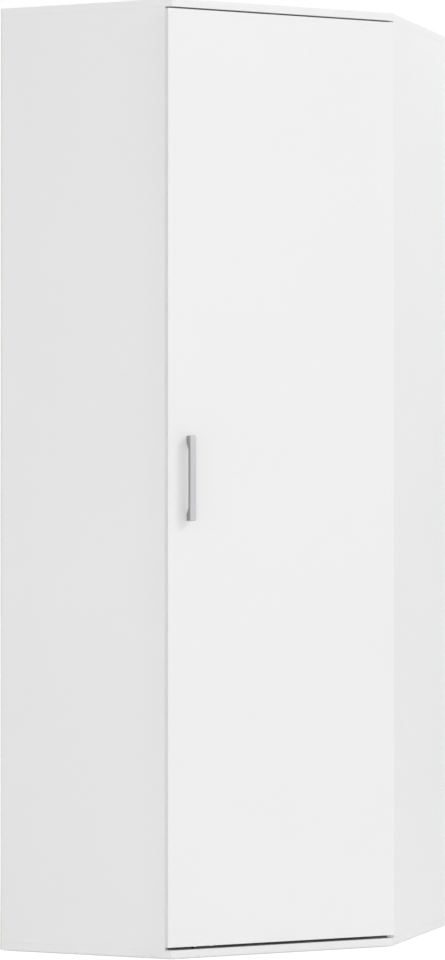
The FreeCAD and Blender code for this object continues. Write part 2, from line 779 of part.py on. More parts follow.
def build_hinges():
    """Four concealed hinges: cup and pin in the door, goose-neck arm and plate on the right panel."""
    heights = spread("door_bottom + hinge_margin", "door_top - hinge_margin", HINGE_COUNT)
    half = "arm_thickness / 2"
    arm_screw = make_screw_master(
        "arm_screw",
        "arm_screw_radius",
        "arm_screw_length",
        "arm_screw_head_radius",
        "arm_screw_head_height",
    )
    arm_screw_bore = cylinder(
        "arm_screw_bore_master", "arm_screw_radius + arm_screw_clearance", "arm_hole_length"
    )
    pins, cup_screws, plate_screws, arm_screws = [], [], [], []
    for number, height in enumerate(heights, start=1):
        cup_name = f"hinge_cup_{number}"
        mouth = front("cup_along", "door_back", height)
        shell = cylinder(f"cup_shell_{number}", "cup_radius", "cup_depth", mouth, FRONT_OUTWARD)
        rim = cylinder(f"cup_rim_{number}", "cup_radius + cup_rim", "cup_flange", mouth, FRONT_INWARD)
        ears = box(
            f"cup_ears_{number}",
            ("cup_ear_width", "cup_flange", "cup_ear_length"),
            front("cup_screw_along - cup_ear_width / 2", "door_back", f"{height} - cup_ear_length / 2"),
            FRONT,
        )
        hollow = cylinder(
            f"cup_hollow_{number}",
            "cup_inner_radius",
            "cup_depth - cup_wall + cup_flange",
            front("cup_along", "door_back + cup_flange", height),
            FRONT_OUTWARD,
        )
        pin_at = front("pivot_along", "pivot_in", f"{height} - pin_half_length")
        pin_hole = cylinder(
            f"cup_pin_hole_{number}",
            "pin_radius + pin_seat_clearance",
            "2 * (pin_half_length + pin_seat_clearance)",
            front("pivot_along", "pivot_in", f"{height} - pin_half_length - pin_seat_clearance"),
        )
        pins.append(cylinder(f"hinge_pin_{number}", "pin_radius", "2 * pin_half_length", pin_at))
        screw_places = []
        for side in ("-", "+"):
            at = front("cup_screw_along", "door_back + cup_flange", f"{height} {side} cup_screw_spacing / 2")
            screw_places.append((at, FRONT_OUTWARD))
        # Two lugs stand on the cup's floor, one at each end of the pin.
        open_cup = cut(f"open_cup_{number}", fuse(f"cup_blank_{number}", [shell, rim, ears]), [hollow])
        lugs = []
        for side, low in (
            ("lower", f"{height} - lug_start - lug_length"),
            ("upper", f"{height} + lug_start"),
        ):
            lugs.append(
                box(
                    f"cup_{side}_lug_{number}",
                    ("lug_width", "pivot_in + knuckle_radius - cup_floor", "lug_length"),
                    front("pivot_along - lug_width / 2", "cup_floor", low),
                    FRONT,
                )
            )
        bores[cup_name] += [pin_hole] + copies("cup_ear_bore", wood_screw_bore, screw_places)
        cup_screws += screw_places
        drilled(cup_name, fuse(f"cup_with_lugs_{number}", [open_cup] + lugs))
        bores["door_panel"].append(
            cylinder(
                f"cup_bore_{number}",
                "cup_radius + cup_clearance",
                "cup_depth + cup_clearance",
                mouth,
                FRONT_OUTWARD,
            )
        )

        # The neck leaves the pin to the left, turns out of the cup and meets the straight arm.
        arm_name = f"hinge_arm_{number}"
        neck_low = f"{height} - neck_width / 2"
        bend_in = front("neck_along", "pivot_in", neck_low)
        bend_out = front("neck_along", "pivot_in + neck_drop", neck_low)
        neck = [
            cylinder(f"arm_knuckle_{number}", "knuckle_radius", "neck_width", front("pivot_along", "pivot_in", neck_low)),
            box(
                f"arm_neck_{number}",
                ("neck_reach", "arm_thickness", "neck_width"),
                front("neck_along", f"pivot_in - {half}", neck_low),
                FRONT,
            ),
            cylinder(f"arm_bend_in_{number}", half, "neck_width", bend_in),
            box(
                f"arm_drop_{number}",
                ("arm_thickness", "neck_drop", "neck_width"),
                front(f"neck_along - {half}", "pivot_in", neck_low),
                FRONT,
            ),
            cylinder(f"arm_bend_out_{number}", half, "neck_width", bend_out),
            box(
                f"arm_bar_{number}",
                ("arm_thickness", f"plate_back - ({bend_out[1]})", "arm_width"),
                (f"arm_x - {half}", bend_out[1], f"{height} - arm_width / 2"),
            ),
        ]
        bores[arm_name].append(
            cylinder(
                f"arm_pin_hole_{number}",
                "pin_radius + pin_clearance",
                "neck_width",
                front("pivot_along", "pivot_in", neck_low),
            )
        )
        arm_screw_place = [((f"arm_x - {half}", "right_end + arm_screw_line", height), TO_PLUS_X)]
        bores[arm_name] += copies("arm_screw_bore", arm_screw_bore, arm_screw_place)
        arm_screws += arm_screw_place
        drilled(arm_name, fuse(f"arm_blank_{number}", neck))

        plate_name = f"hinge_plate_{number}"
        wing = box(
            f"plate_wing_{number}",
            ("plate_wing_thickness", "plate_wing_width", "plate_wing_length"),
            (
                "right_inner - plate_wing_thickness",
                "right_end + plate_screw_line - plate_wing_width / 2",
                f"{height} - plate_wing_length / 2",
            ),
        )
        block = box(
            f"plate_block_{number}",
            ("plate_height", "plate_block_length", "plate_block_width"),
            ("right_inner - plate_height", "right_end + plate_block_start", f"{height} - plate_block_width / 2"),
        )
        screw_places = []
        for side in ("-", "+"):
            at = (
                "right_inner - plate_wing_thickness",
                "right_end + plate_screw_line",
                f"{height} {side} plate_screw_spacing / 2",
            )
            screw_places.append((at, TO_PLUS_X))
        bores[plate_name] += copies("plate_bore", wood_screw_bore, screw_places)
        bores[plate_name] += copies("plate_arm_bore", arm_screw_bore, arm_screw_place)
        plate_screws += screw_places
        drilled(plate_name, fuse(f"plate_blank_{number}", [wing, block]))
    node(group("hinge_pins", pins), "hinge_pins")
    node(group("hinge_arm_screws", copies("arm_screw", arm_screw, arm_screws)), "hinge_arm_screws")
    wood_screws("hinge_cup_screws", cup_screws, ["door_panel"])
    wood_screws("hinge_plate_screws", plate_screws, ["right_side_panel"])


def build_catches():
    """Magnetic catches at the top and bottom, and the strike plates on the door that meet them."""
    catch_screws, strike_screws, strikes, magnets = [], [], [], []
    magnet_start = "catch_along - magnet_length / 2"
    # Each catch: its name, the face it is fixed to, the way off that face, the door's end there.
    for name, face, way, panel, door_end, turn in (
        ("top", "top_panel_bottom", -1, "top_panel", "door_top", UPWARD),
        ("bottom", "bottom_panel_top", 1, "bottom_panel", "door_bottom", DOWNWARD),
    ):
        catch = f"catch_{name}"
        low = f"min({face}; {face} + ({way}) * catch_height)"
        ear_low = f"min({face}; {face} + ({way}) * catch_ear)"
        body = box(
            f"catch_body_{name}",
            ("catch_body_length", "catch_depth", "catch_height"),
            front("catch_along - catch_body_length / 2", "catch_front", low),
            FRONT,
        )
        ears = box(
            f"catch_ears_{name}",
            ("catch_length", "catch_depth", "catch_ear"),
            front("catch_along - catch_length / 2", "catch_front", ear_low),
            FRONT,
        )
        strike_middle = f"{door_end} + ({way}) * (strike_edge_distance + strike_height / 2)"
        magnet_low = f"{strike_middle} - magnet_height / 2"
        pocket = box(
            f"magnet_pocket_{name}",
            ("magnet_length + 2 * magnet_clearance", "magnet_depth", "magnet_height + 2 * magnet_clearance"),
            front(f"{magnet_start} - magnet_clearance", "catch_front", f"{magnet_low} - magnet_clearance"),
            FRONT,
        )
        magnets.append(
            box(
                f"magnet_{name}",
                ("magnet_length", "magnet_depth + magnet_proud", "magnet_height"),
                front(magnet_start, "magnet_front", magnet_low),
                FRONT,
            )
        )
        places = []
        for side in ("-", "+"):
            at = front(
                f"catch_along {side} (catch_body_length + catch_length) / 4",
                "catch_front + catch_depth / 2",
                f"{face} + ({way}) * catch_ear",
            )
            places.append((at, turn))
        bores[catch] += [pocket] + copies("catch_bore", wood_screw_bore, places)
        bores[panel] += copies("catch_screw_bore", wood_screw_bore, places)
        catch_screws += places
        drilled(catch, fuse(f"catch_blank_{name}", [body, ears]))

        strike_name = f"strike_plate_{name}"
        strike = box(
            f"strike_blank_{name}",
            ("strike_length", "strike_thickness", "strike_height"),
            front("catch_along - strike_length / 2", "door_back", f"{strike_middle} - strike_height / 2"),
            FRONT,
        )
        places = []
        for side in ("-", "+"):
            at = front(f"catch_along {side} strike_screw_spacing / 2", "strike_back", strike_middle)
            places.append((at, FRONT_OUTWARD))
        bores["door_panel"] += copies("strike_screw_bore", wood_screw_bore, places)
        strike_screws += places
        strikes.append(cut(strike_name, strike, copies("strike_bore", wood_screw_bore, places)))
    node(group("catch_magnets", magnets), "catch_magnets")
    node(group("strike_plates", strikes), "strike_plates")
    wood_screws("catch_screws", catch_screws, [])
    wood_screws("strike_plate_screws", strike_screws, [])


def edges_across(shape, points, direction):
    """Names of the edges along a direction that pass through given points of their plane."""
    names = []
    for index, edge in enumerate(shape.Edges, start=1):
        ends = [vertex.Point for vertex in edge.Vertexes]
        if len(ends) < 2 or (ends[1] - ends[0]).cross(direction).Length > 1e-6:
            continue
        if any(abs(ends[0].x - x) < 1e-6 and abs(ends[0].y - y) < 1e-6 for x, y in points):
            names.append(f"Edge{index}")
    return names


def build_handle():
    """Bow handle: a grip whose ends sweep down to two feet, held by screws through the door."""
    length, sweep = value("handle_length"), value("handle_sweep")
    depth, inside = value("handle_projection"), value("handle_projection - handle_grip")
    body = prism_body(
        "handle",
        [
            ("0", "0"),
            ("0", "handle_projection"),
            ("handle_length", "handle_projection"),
            ("handle_length", "0"),
            ("handle_length - handle_foot", "0"),
            ("handle_length - handle_sweep", "handle_projection - handle_grip"),
            ("handle_sweep", "handle_projection - handle_grip"),
            ("handle_foot", "0"),
        ],
        "handle_width",
    )
    doc.recompute()
    rounds = (
        ("handle_outer_round", "handle_outer_radius", [(0, depth), (length, depth)]),
        ("handle_inner_round", "handle_inner_radius", [(sweep, inside), (length - sweep, inside)]),
    )
    for name, radius, corners in rounds:
        base = body.Tip
        fillet = body.newObject("PartDesign::Fillet", name)
        fillet.Base = (base, edges_across(base.Shape, corners, Z_AXIS))
        bind(fillet, Radius=radius)
        body.Tip = fillet
        doc.recompute()
    # The long edges of the grip's front are rounded over, on both sides of the bar.
    front_edges = []
    for index, edge in enumerate(body.Tip.Shape.Edges, start=1):
        middle = edge.CenterOfMass
        runs_along = edge.BoundBox.XLength > length / 2
        if runs_along and abs(middle.y - depth) < 1e-6:
            front_edges.append(f"Edge{index}")
    base = body.Tip
    crown = body.newObject("PartDesign::Fillet", "handle_crown")
    crown.Base = (base, front_edges)
    bind(crown, Radius="handle_crown_radius")
    body.Tip = crown
    doc.recompute()
    # The sketch's X runs up the door, its Y out from the door and its Z along the front line.
    out = FreeCAD.Vector(1, -1, 0).normalize()
    upright = FreeCAD.Rotation(Z_AXIS, out, Z_AXIS.cross(out), "XYZ")
    place(
        body,
        front(
            "handle_along - handle_width / 2",
            "door_front",
            "handle_height - handle_length / 2",
        ),
        upright,
    )
    screw = make_screw_master(
        "handle_screw",
        "handle_screw_radius",
        "handle_screw_length",
        "handle_screw_head_radius",
        "handle_screw_head_height",
    )
    screw_bore = make_bore_master(
        "handle_screw", "handle_screw_radius", "handle_screw_length", "handle_screw_clearance"
    )
    places = []
    for side in ("-", "+"):
        at = front("handle_along", "door_back", f"handle_height {side} handle_hole_spacing / 2")
        places.append((at, FRONT_OUTWARD))
    bores["handle"] += copies("handle_screw_hole", screw_bore, places)
    # The legs are narrower than the grip, by the same inset on both sides.
    for name, start in (
        ("handle_left_inset", "handle_along - handle_width / 2"),
        ("handle_right_inset", "handle_along + handle_width / 2 - handle_leg_inset"),
    ):
        corner = front(start, "door_front - handle_projection + handle_grip", "handle_height - handle_length / 2")
        size = ("handle_leg_inset", "handle_projection - handle_grip", "handle_length")
        bores["handle"].append(box(name, size, corner, FRONT))
    bores["door_panel"] += copies("handle_door_hole", screw_bore, places)
    node(group("handle_screws", copies("handle_screw", screw, places)), "handle_screws")
    drilled("handle", body)


def build_boards():
    """Boards of the carcass and the door, with all the holes that the fittings asked for."""
    five_sided = [
        ("boards_left", "front_left_y"),
        ("front_left_x", "front_left_y"),
        ("side_x", "front_right_y"),
        ("side_x", "boards_back"),
        ("boards_left", "boards_back"),
    ]
    shelf_outline = [
        ("boards_left + shelf_clearance", "shelf_left"),
        ("shelf_front_x", "shelf_left"),
        ("shelf_right", "shelf_front_y"),
        ("shelf_right", "shelf_back"),
        ("post_inner + shelf_clearance", "shelf_back"),
        ("post_inner + shelf_clearance", "post_front - shelf_clearance"),
        ("boards_left + shelf_clearance", "post_front - shelf_clearance"),
    ]
    drilled("top_panel", prism_body("top_panel", five_sided, "board", ("0", "0", "top_panel_bottom")))
    drilled("bottom_panel", prism_body("bottom_panel", five_sided, "board", ("0", "0", "glide_height")))
    drilled("hat_shelf", prism_body("hat_shelf", shelf_outline, "board", ("0", "0", "shelf_height")))
    boards = {
        "left_side_panel": (
            ("left_end - boards_left", "board", "upright_length"),
            ("boards_left", "front_left_y", "bottom_panel_top"),
        ),
        "right_side_panel": (
            ("board", "boards_back - right_end", "upright_length"),
            ("right_inner", "right_end", "bottom_panel_top"),
        ),
        "corner_post": (
            ("board", "post_width", "upright_length"),
            ("boards_left", "post_front", "bottom_panel_top"),
        ),
        "left_back_panel": (
            ("back_board", "wall_length - back_board - back_inset", "overall_height - glide_height - 2 * back_inset"),
            ("wall_x", "side_y + back_inset", "glide_height + back_inset"),
        ),
        "right_back_panel": (
            ("wall_length - back_inset", "back_board", "overall_height - glide_height - 2 * back_inset"),
            ("wall_x", "boards_back", "glide_height + back_inset"),
        ),
    }
    for name, (size, at) in boards.items():
        drilled(name, box(name + "_blank", size, at))
    door = box(
        "door_blank",
        ("door_right - door_left", "board", "door_top - door_bottom"),
        front("door_left", "door_front", "door_bottom"),
        FRONT,
    )
    drilled("door_panel", door)


def check_and_write():
    """Stop on any failed object, then write each piece to its own file."""
    doc.recompute()
    failed = [item.Name for item in doc.Objects if {"Invalid", "Error"} & set(item.State)]
    if failed:
        raise RuntimeError("failed objects: " + ", ".join(failed))
    for item in nodes:
        if item.Shape.isNull() or not item.Shape.isValid() or not item.Shape.Solids:
            raise RuntimeError("bad shape: " + item.Label)
    os.makedirs("parts", exist_ok=True)
    for item in nodes:
        item.Shape.exportStep(f"parts/{item.Label}.step")
    print(len(nodes), "pieces written")
    print("door axis at", round(value("pivot_x"), 3), round(value("pivot_y"), 3))


build_cam_joints()
build_back_nails()
build_glides()
build_wall_brackets()
build_shelf_supports()
build_clothes_rail()
build_hinges()
build_catches()
build_handle()
build_boards()
check_and_write()
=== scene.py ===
import logging
import math
from abc import ABC, abstractmethod
from collections.abc import Callable
from dataclasses import dataclass
from enum import Enum
from typing import NamedTuple

import bmesh
import bpy
from mathutils import Matrix, Vector


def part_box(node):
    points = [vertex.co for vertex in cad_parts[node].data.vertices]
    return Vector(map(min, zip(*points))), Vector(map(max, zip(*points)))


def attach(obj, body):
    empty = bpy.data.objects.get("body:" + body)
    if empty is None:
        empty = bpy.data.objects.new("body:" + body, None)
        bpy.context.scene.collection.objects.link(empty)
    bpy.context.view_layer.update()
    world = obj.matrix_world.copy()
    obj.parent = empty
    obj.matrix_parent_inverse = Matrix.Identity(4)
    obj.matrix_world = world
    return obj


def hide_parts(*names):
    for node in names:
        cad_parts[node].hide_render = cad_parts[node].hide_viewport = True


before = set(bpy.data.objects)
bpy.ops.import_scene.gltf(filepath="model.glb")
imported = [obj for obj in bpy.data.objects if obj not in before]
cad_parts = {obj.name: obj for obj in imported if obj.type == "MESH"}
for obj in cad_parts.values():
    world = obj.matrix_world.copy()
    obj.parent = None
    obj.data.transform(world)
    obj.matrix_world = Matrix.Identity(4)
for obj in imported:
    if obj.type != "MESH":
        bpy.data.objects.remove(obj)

Piece = bpy.types.Object
Socket = bpy.types.NodeSocket
Triple = tuple[float, float, float]
EdgeTest = Callable[[Vector, Vector], bool]

LOGGER = logging.getLogger("corner_wardrobe")
HINGES = 4
WHITE = (1.0, 1.0, 1.0, 1.0)

# Places closer than this count as one, in metres.
NEAR = 1e-6
# A point this close to a face lies on it, in metres.
FACE_PLAY = 1e-5
# Cosine above which a face looks mainly one way.
MAINLY = 0.9
# Cosine above which a face looks exactly one way.
SAME_WAY = 0.9999
# Angle above which an edge is sharp enough to be rounded.
SHARP_EDGE = math.radians(35.0)
# Range that most values of a noise lie in.
NOISE_LOW = 0.3
NOISE_HIGH = 0.7
# Turn that stands a camera level, in degrees.
LOOK_LEVEL = 90.0
# Sockets that a Mix node uses for colours.
MIX_SHARE = 0
MIX_FIRST = 6
MIX_SECOND = 7
MIX_RESULT = 2


class Body(Enum):
    """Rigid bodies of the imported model."""

    CARCASS = "carcass"
    DOOR = "door"


class Slot(Enum):
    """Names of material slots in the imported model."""

    BOARD = "white_melamine_board"
    HANDLE = "satin_aluminium"
    STEEL = "nickel_plated_steel"
    PLASTIC = "white_plastic"


class Lay(Enum):
    """Way that fine marks run, as noise scale along X, Y and Z per metre."""

    EVEN = (900.0, 900.0, 900.0)
    UPRIGHT = (2600.0, 2600.0, 22.0)
    LEVEL = (60.0, 60.0, 2200.0)


@dataclass(frozen=True)
class FrontLine:
    """The diagonal front, measured from its left corner.

    Attributes:
        corner_x: X of the left corner of the top and bottom panels' front edges.
        corner_y: Y of that corner.
        turn: Angle of the line about Z.
    """

    corner_x: float = 0.011641
    corner_y: float = -0.368636
    turn: float = math.radians(45.0)

    def point(self, along: float, inward: float, height: float) -> Vector:
        """Place a point by the front line.

        Args:
            along: Distance along the line to the right.
            inward: Distance behind the line.
            height: Height above the floor.

        Returns:
            The point in the shared frame.
        """
        run = math.cos(self.turn)
        rise = math.sin(self.turn)
        x = self.corner_x + along * run - inward * rise
        y = self.corner_y + along * rise + inward * run
        return Vector((x, y, height))

    def outward(self) -> Vector:
        """Direction from the wardrobe to someone in front of the door."""
        return Vector((math.sin(self.turn), -math.cos(self.turn), 0.0))

    def rightward(self) -> Vector:
        """Direction along the line to the right."""
        return Vector((math.cos(self.turn), math.sin(self.turn), 0.0))


FRONT = FrontLine()
UPWARD = Vector((0.0, 0.0, 1.0))
DOWNWARD = Vector((0.0, 0.0, -1.0))
TO_RIGHT_SIDE = Vector((1.0, 0.0, 0.0))
TO_RIGHT_WALL = Vector((0.0, 1.0, 0.0))
CARCASS_WAYS = (TO_RIGHT_SIDE, TO_RIGHT_WALL, UPWARD, FRONT.outward())
DOOR_WAYS = (FRONT.rightward(), FRONT.outward(), UPWARD)


def calculate(tree: bpy.types.NodeTree, operation: str, first: Socket, second: Socket | float) -> Socket:
    """Add a Math node.

    Args:
        tree: Node tree to add it to.
        operation: What it does with the two values.
        first: First value.
        second: Second value, from a socket or the same everywhere.

    Returns:
        The result.
    """
    node = tree.nodes.new("ShaderNodeMath")
    node.operation = operation
    tree.links.new(first, node.inputs[0])
    if isinstance(second, float):
        node.inputs[1].default_value = second
    else:
        tree.links.new(second, node.inputs[1])
    return node.outputs[0]


def fill(tree: bpy.types.NodeTree, node: bpy.types.Node, **values: object) -> bpy.types.Node:
    """Fill inputs of a node.

    Args:
        tree: Node tree that it is in.
        node: Node to fill.
        values: Sockets and constants by the inputs' names, with underscores for spaces.

    Returns:
        The same node.
    """
    for name, value in values.items():
        place = node.inputs[name.replace("_", " ")]
        if isinstance(value, Socket):
            tree.links.new(value, place)
        else:
            place.default_value = value
    return node


class NodeSheet:
    """A new material's node tree, with short ways to add and join nodes."""

    def __init__(self, name: str) -> None:
        """Start a material that holds one Principled shader.

        Args:
            name: Name of the material.
        """
        self.material = bpy.data.materials.new(name)
        self.material.use_nodes = True
        self.tree = self.material.node_tree
        self.places = self.add("TexCoord").outputs["Object"]

    def add(self, kind: str, **values: object) -> bpy.types.Node:
        """Add a shader node of a kind and fill its inputs."""
        return fill(self.tree, self.tree.nodes.new(f"ShaderNode{kind}"), **values)

    def set(self, **values: object) -> None:
        """Fill inputs of the shader."""
        fill(self.tree, self.tree.nodes["Principled BSDF"], **values)

    def noise(self, scale: Triple | float, detail: float) -> Socket:
        """Noise over the surface.

        Args:
            scale: Cycles per metre, the same all ways or along X, Y and Z.
            detail: Number of finer layers.

        Returns:
            The noise value, about 0 to 1.
        """
        places = self.places
        if isinstance(scale, tuple):
            places = self.add("Mapping", Scale=scale, Vector=places).outputs["Vector"]
            scale = 1.0
        return self.add("TexNoise", Scale=scale, Detail=detail, Vector=places).outputs["Fac"]

    def spread(self, value: Socket, low: float, high: float) -> Socket:
        """Spread the middle of a noise over a range.

        Args:
            value: Noise value.
            low: Result where the noise is low.
            high: Result where the noise is high.

        Returns:
            The value in its new range.
        """
        ranged = self.add("MapRange", Value=value, From_Min=NOISE_LOW, From_Max=NOISE_HIGH)
        return fill(self.tree, ranged, To_Min=low, To_Max=high).outputs["Result"]

    def colours(self, value: Socket, stops: list[tuple[float, Triple]]) -> Socket:
        """Turn a value into colours.

        Args:
            value: Value from 0 to 1.
            stops: Pairs of a position and a colour.

        Returns:
            The colour.
        """
        ramp = self.add("ValToRGB", Fac=value)
        elements = ramp.color_ramp.elements
        while len(elements) < len(stops):
            elements.new(0.5)
        for element, (position, colour) in zip(elements, stops):
            element.position = position
            element.color = (*colour, 1.0)
        return ramp.outputs["Color"]

    def mixed(self, share: Socket, first: Socket, second: Socket) -> Socket:
        """Mix two colours.

        Args:
            share: 0 for the first colour, 1 for the second.
            first: Colour where the share is 0.
            second: Colour where the share is 1.

        Returns:
            The mixed colour.
        """
        mix = self.add("Mix")
        mix.data_type = "RGBA"
        for value, place in ((share, MIX_SHARE), (first, MIX_FIRST), (second, MIX_SECOND)):
            self.tree.links.new(value, mix.inputs[place])
        return mix.outputs[MIX_RESULT]

    def relief(self, height: Socket, strength: float, depth: float) -> None:
        """Bump the shader's surface.

        Args:
            height: Height from 0 to 1.
            strength: Share of the bump that shows.
            depth: Depth of the bump in metres.
        """
        bump = self.add("Bump", Strength=strength, Distance=depth, Height=height)
        self.set(Normal=bump.outputs["Normal"])


@dataclass(frozen=True)
class Finish(ABC):
    """A surface finish.

    Attributes:
        name: Name of the material.
        colour: Main colour, linear.
        roughness: Middle roughness.
    """

    name: str
    colour: Triple
    roughness: float

    def tint(self, factor: float) -> Triple:
        """Main colour made darker or lighter by a factor."""
        return tuple(min(1.0, part * factor) for part in self.colour)

    def material(self) -> bpy.types.Material:
        """Make the material, or find it where it was made before.

        Returns:
            The finished material.
        """
        known = bpy.data.materials.get(self.name)
        if known is not None:
            return known
        sheet = NodeSheet(self.name)
        self.dress(sheet)
        return sheet.material

    def shades(self, sheet: NodeSheet, value: Socket, *stops: tuple[float, float]) -> Socket:
        """Shades of the main colour, from pairs of a value and the factor that it stands for."""
        return sheet.colours(value, [(position, self.tint(factor)) for position, factor in stops])

    def polish(self, sheet: NodeSheet, value: Socket, below: float, above: float) -> None:
        """Vary the roughness with a noise, from below its middle to above it."""
        sheet.set(Roughness=sheet.spread(value, self.roughness - below, self.roughness + above))

    @abstractmethod
    def dress(self, sheet: NodeSheet) -> None:
        """Build the finish's nodes."""


@dataclass(frozen=True)
class MelamineFinish(Finish):
    """White melamine foil: an even tone with the fine pearl of the press plate.

    Attributes:
        pearl: Grains of the pressed texture per metre.
        pearl_depth: Depth of the texture in metres.
    """

    pearl: float = 1400.0
    pearl_depth: float = 0.00012

    def dress(self, sheet: NodeSheet) -> None:
        """Build the foil's nodes."""
        cloud = sheet.noise(scale=2.4, detail=3.0)
        sheet.set(Base_Color=self.shades(sheet, cloud, (NOISE_LOW, 0.993), (NOISE_HIGH, 1.006)))
        self.polish(sheet, sheet.noise(scale=45.0, detail=3.0), below=0.04, above=0.05)
        sheet.relief(sheet.noise(self.pearl, detail=2.0), strength=0.16, depth=self.pearl_depth)
        sheet.set(Specular_IOR_Level=0.42)


@dataclass(frozen=True)
class EdgeBandFinish(Finish):
    """Plastic edge band ironed round a board, without the foil's pearl, with faint scraper marks."""

    def dress(self, sheet: NodeSheet) -> None:
        """Build the band's nodes."""
        marks = sheet.noise(Lay.UPRIGHT.value, detail=2.0)
        sheet.set(Base_Color=self.shades(sheet, marks, (0.25, 0.97), (0.75, 1.01)))
        self.polish(sheet, marks, below=0.05, above=0.06)
        sheet.relief(marks, strength=0.05, depth=0.0001)
        sheet.set(Specular_IOR_Level=0.36)


class BareFace(NamedTuple):
    """A bare brown face of a hardboard.

    Attributes:
        axis: Index of the axis that it is square to.
        place: Its place on that axis.
        side: 1 where the board lies at larger values, or -1 where it lies at smaller ones.
    """

    axis: int
    place: float
    side: float


@dataclass(frozen=True)
class HardboardFinish(Finish):
    """Thin hardboard: white lacquer towards the inside of the wardrobe, bare brown fibre towards the wall.

    Attributes:
        bare: Bare faces.
        lacquer: Colour of the lacquered face and the edges.
        skin: Depth of the brown behind a bare face.
        fibres: Fibres per metre along X, Y and Z.
        stain: Most that the stains take of the brown.
        wear: Factor of the lacquer's darkest shade.
    """

    bare: tuple[BareFace, ...] = ()
    lacquer: Triple = (0.8, 0.795, 0.78)
    skin: float = 0.0003
    fibres: Triple = (260.0, 260.0, 190.0)
    stain: float = 0.8
    wear: float = 0.97

    def dress(self, sheet: NodeSheet) -> None:
        """Build the board's nodes."""
        fibre = sheet.noise(self.fibres, detail=5.0)
        patch = sheet.noise(scale=6.0, detail=4.0)
        raw = self.shades(sheet, fibre, (0.3, 0.62), (0.55, 1.0), (0.75, 1.32))
        stained = self.shades(sheet, patch, (NOISE_LOW, 0.8), (NOISE_HIGH, 1.1))
        brown = sheet.mixed(calculate(sheet.tree, "MULTIPLY", patch, self.stain), raw, stained)
        dimmed = tuple(part * self.wear for part in self.lacquer)
        colour = sheet.colours(
            sheet.noise(scale=30.0, detail=3.0), [(NOISE_LOW, dimmed), (NOISE_HIGH, self.lacquer)]
        )
        parts = sheet.add("SeparateXYZ", Vector=sheet.places)
        for face in self.bare:
            operation = "GREATER_THAN" if face.side > 0 else "LESS_THAN"
            depth = face.place + face.side * self.skin
            inside = calculate(sheet.tree, operation, parts.outputs[face.axis], depth)
            colour = sheet.mixed(inside, brown, colour)
        sheet.set(Base_Color=colour)
        self.polish(sheet, fibre, below=0.1, above=0.08)
        sheet.relief(fibre, strength=0.25, depth=0.0003)


@dataclass(frozen=True)
class MetalFinish(Finish):
    """Bare or plated metal.

    Attributes:
        lay: Way that the fine marks run.
        contrast: How far the marks darken and lighten the colour.
        marks: Depth of the marks in metres.
    """

    lay: Lay = Lay.EVEN
    contrast: float = 0.06
    marks: float = 0.00005

    def dress(self, sheet: NodeSheet) -> None:
        """Build the metal's nodes."""
        grain = sheet.noise(self.lay.value, detail=3.0)
        cloud = sheet.noise(scale=70.0, detail=3.0)
        darker = 1.0 - self.contrast
        lighter = 1.0 + self.contrast
        bright = self.shades(sheet, grain, (NOISE_LOW, darker), (NOISE_HIGH, lighter))
        dull = self.shades(sheet, cloud, (0.35, 0.93), (0.65, 1.03))
        sheet.set(Base_Color=sheet.mixed(sheet.spread(cloud, low=0.15, high=0.4), bright, dull))
        self.polish(sheet, grain, below=0.06, above=0.07)
        sheet.relief(grain, strength=0.12, depth=self.marks)
        sheet.set(Metallic=1.0)


@dataclass(frozen=True)
class PlasticFinish(Finish):
    """Moulded plastic with a fine spark-eroded grain."""

    def dress(self, sheet: NodeSheet) -> None:
        """Build the plastic's nodes."""
        grain = sheet.noise(scale=2300.0, detail=2.0)
        cloud = sheet.noise(scale=40.0, detail=2.0)
        sheet.set(Base_Color=self.shades(sheet, cloud, (NOISE_LOW, 0.97), (NOISE_HIGH, 1.02)))
        self.polish(sheet, grain, below=0.05, above=0.07)
        sheet.relief(grain, strength=0.14, depth=0.00008)
        sheet.set(Specular_IOR_Level=0.5)


@dataclass(frozen=True)
class BeechFinish(Finish):
    """Turned beech pegs with their rays and flecks along the grain.

    Attributes:
        grains: Lines of the grain per metre along X, Y and Z.
        flecks: Flecks per metre along X, Y and Z.
    """

    grains: Triple = (700.0, 700.0, 45.0)
    flecks: Triple = (2400.0, 2400.0, 300.0)

    def dress(self, sheet: NodeSheet) -> None:
        """Build the wood's nodes."""
        grain = sheet.noise(self.grains, detail=4.0)
        fleck = sheet.noise(self.flecks, detail=2.0)
        wood = self.shades(sheet, grain, (0.3, 0.72), (0.5, 1.0), (0.72, 1.18))
        rays = self.shades(sheet, fleck, (0.42, 0.6), (0.55, 1.05))
        sheet.set(Base_Color=sheet.mixed(sheet.spread(fleck, low=0.1, high=0.35), wood, rays))
        self.polish(sheet, grain, below=0.06, above=0.06)
        sheet.relief(grain, strength=0.3, depth=0.0002)


@dataclass(frozen=True)
class FerriteFinish(Finish):
    """Sintered magnet, nearly black, with pale specks where it was ground."""

    def dress(self, sheet: NodeSheet) -> None:
        """Build the magnet's nodes."""
        speck = sheet.noise(scale=1900.0, detail=4.0)
        sheet.set(Base_Color=self.shades(sheet, speck, (0.4, 0.75), (0.6, 1.1), (0.72, 2.6)))
        self.polish(sheet, speck, below=0.1, above=0.1)
        sheet.relief(speck, strength=0.2, depth=0.0001)


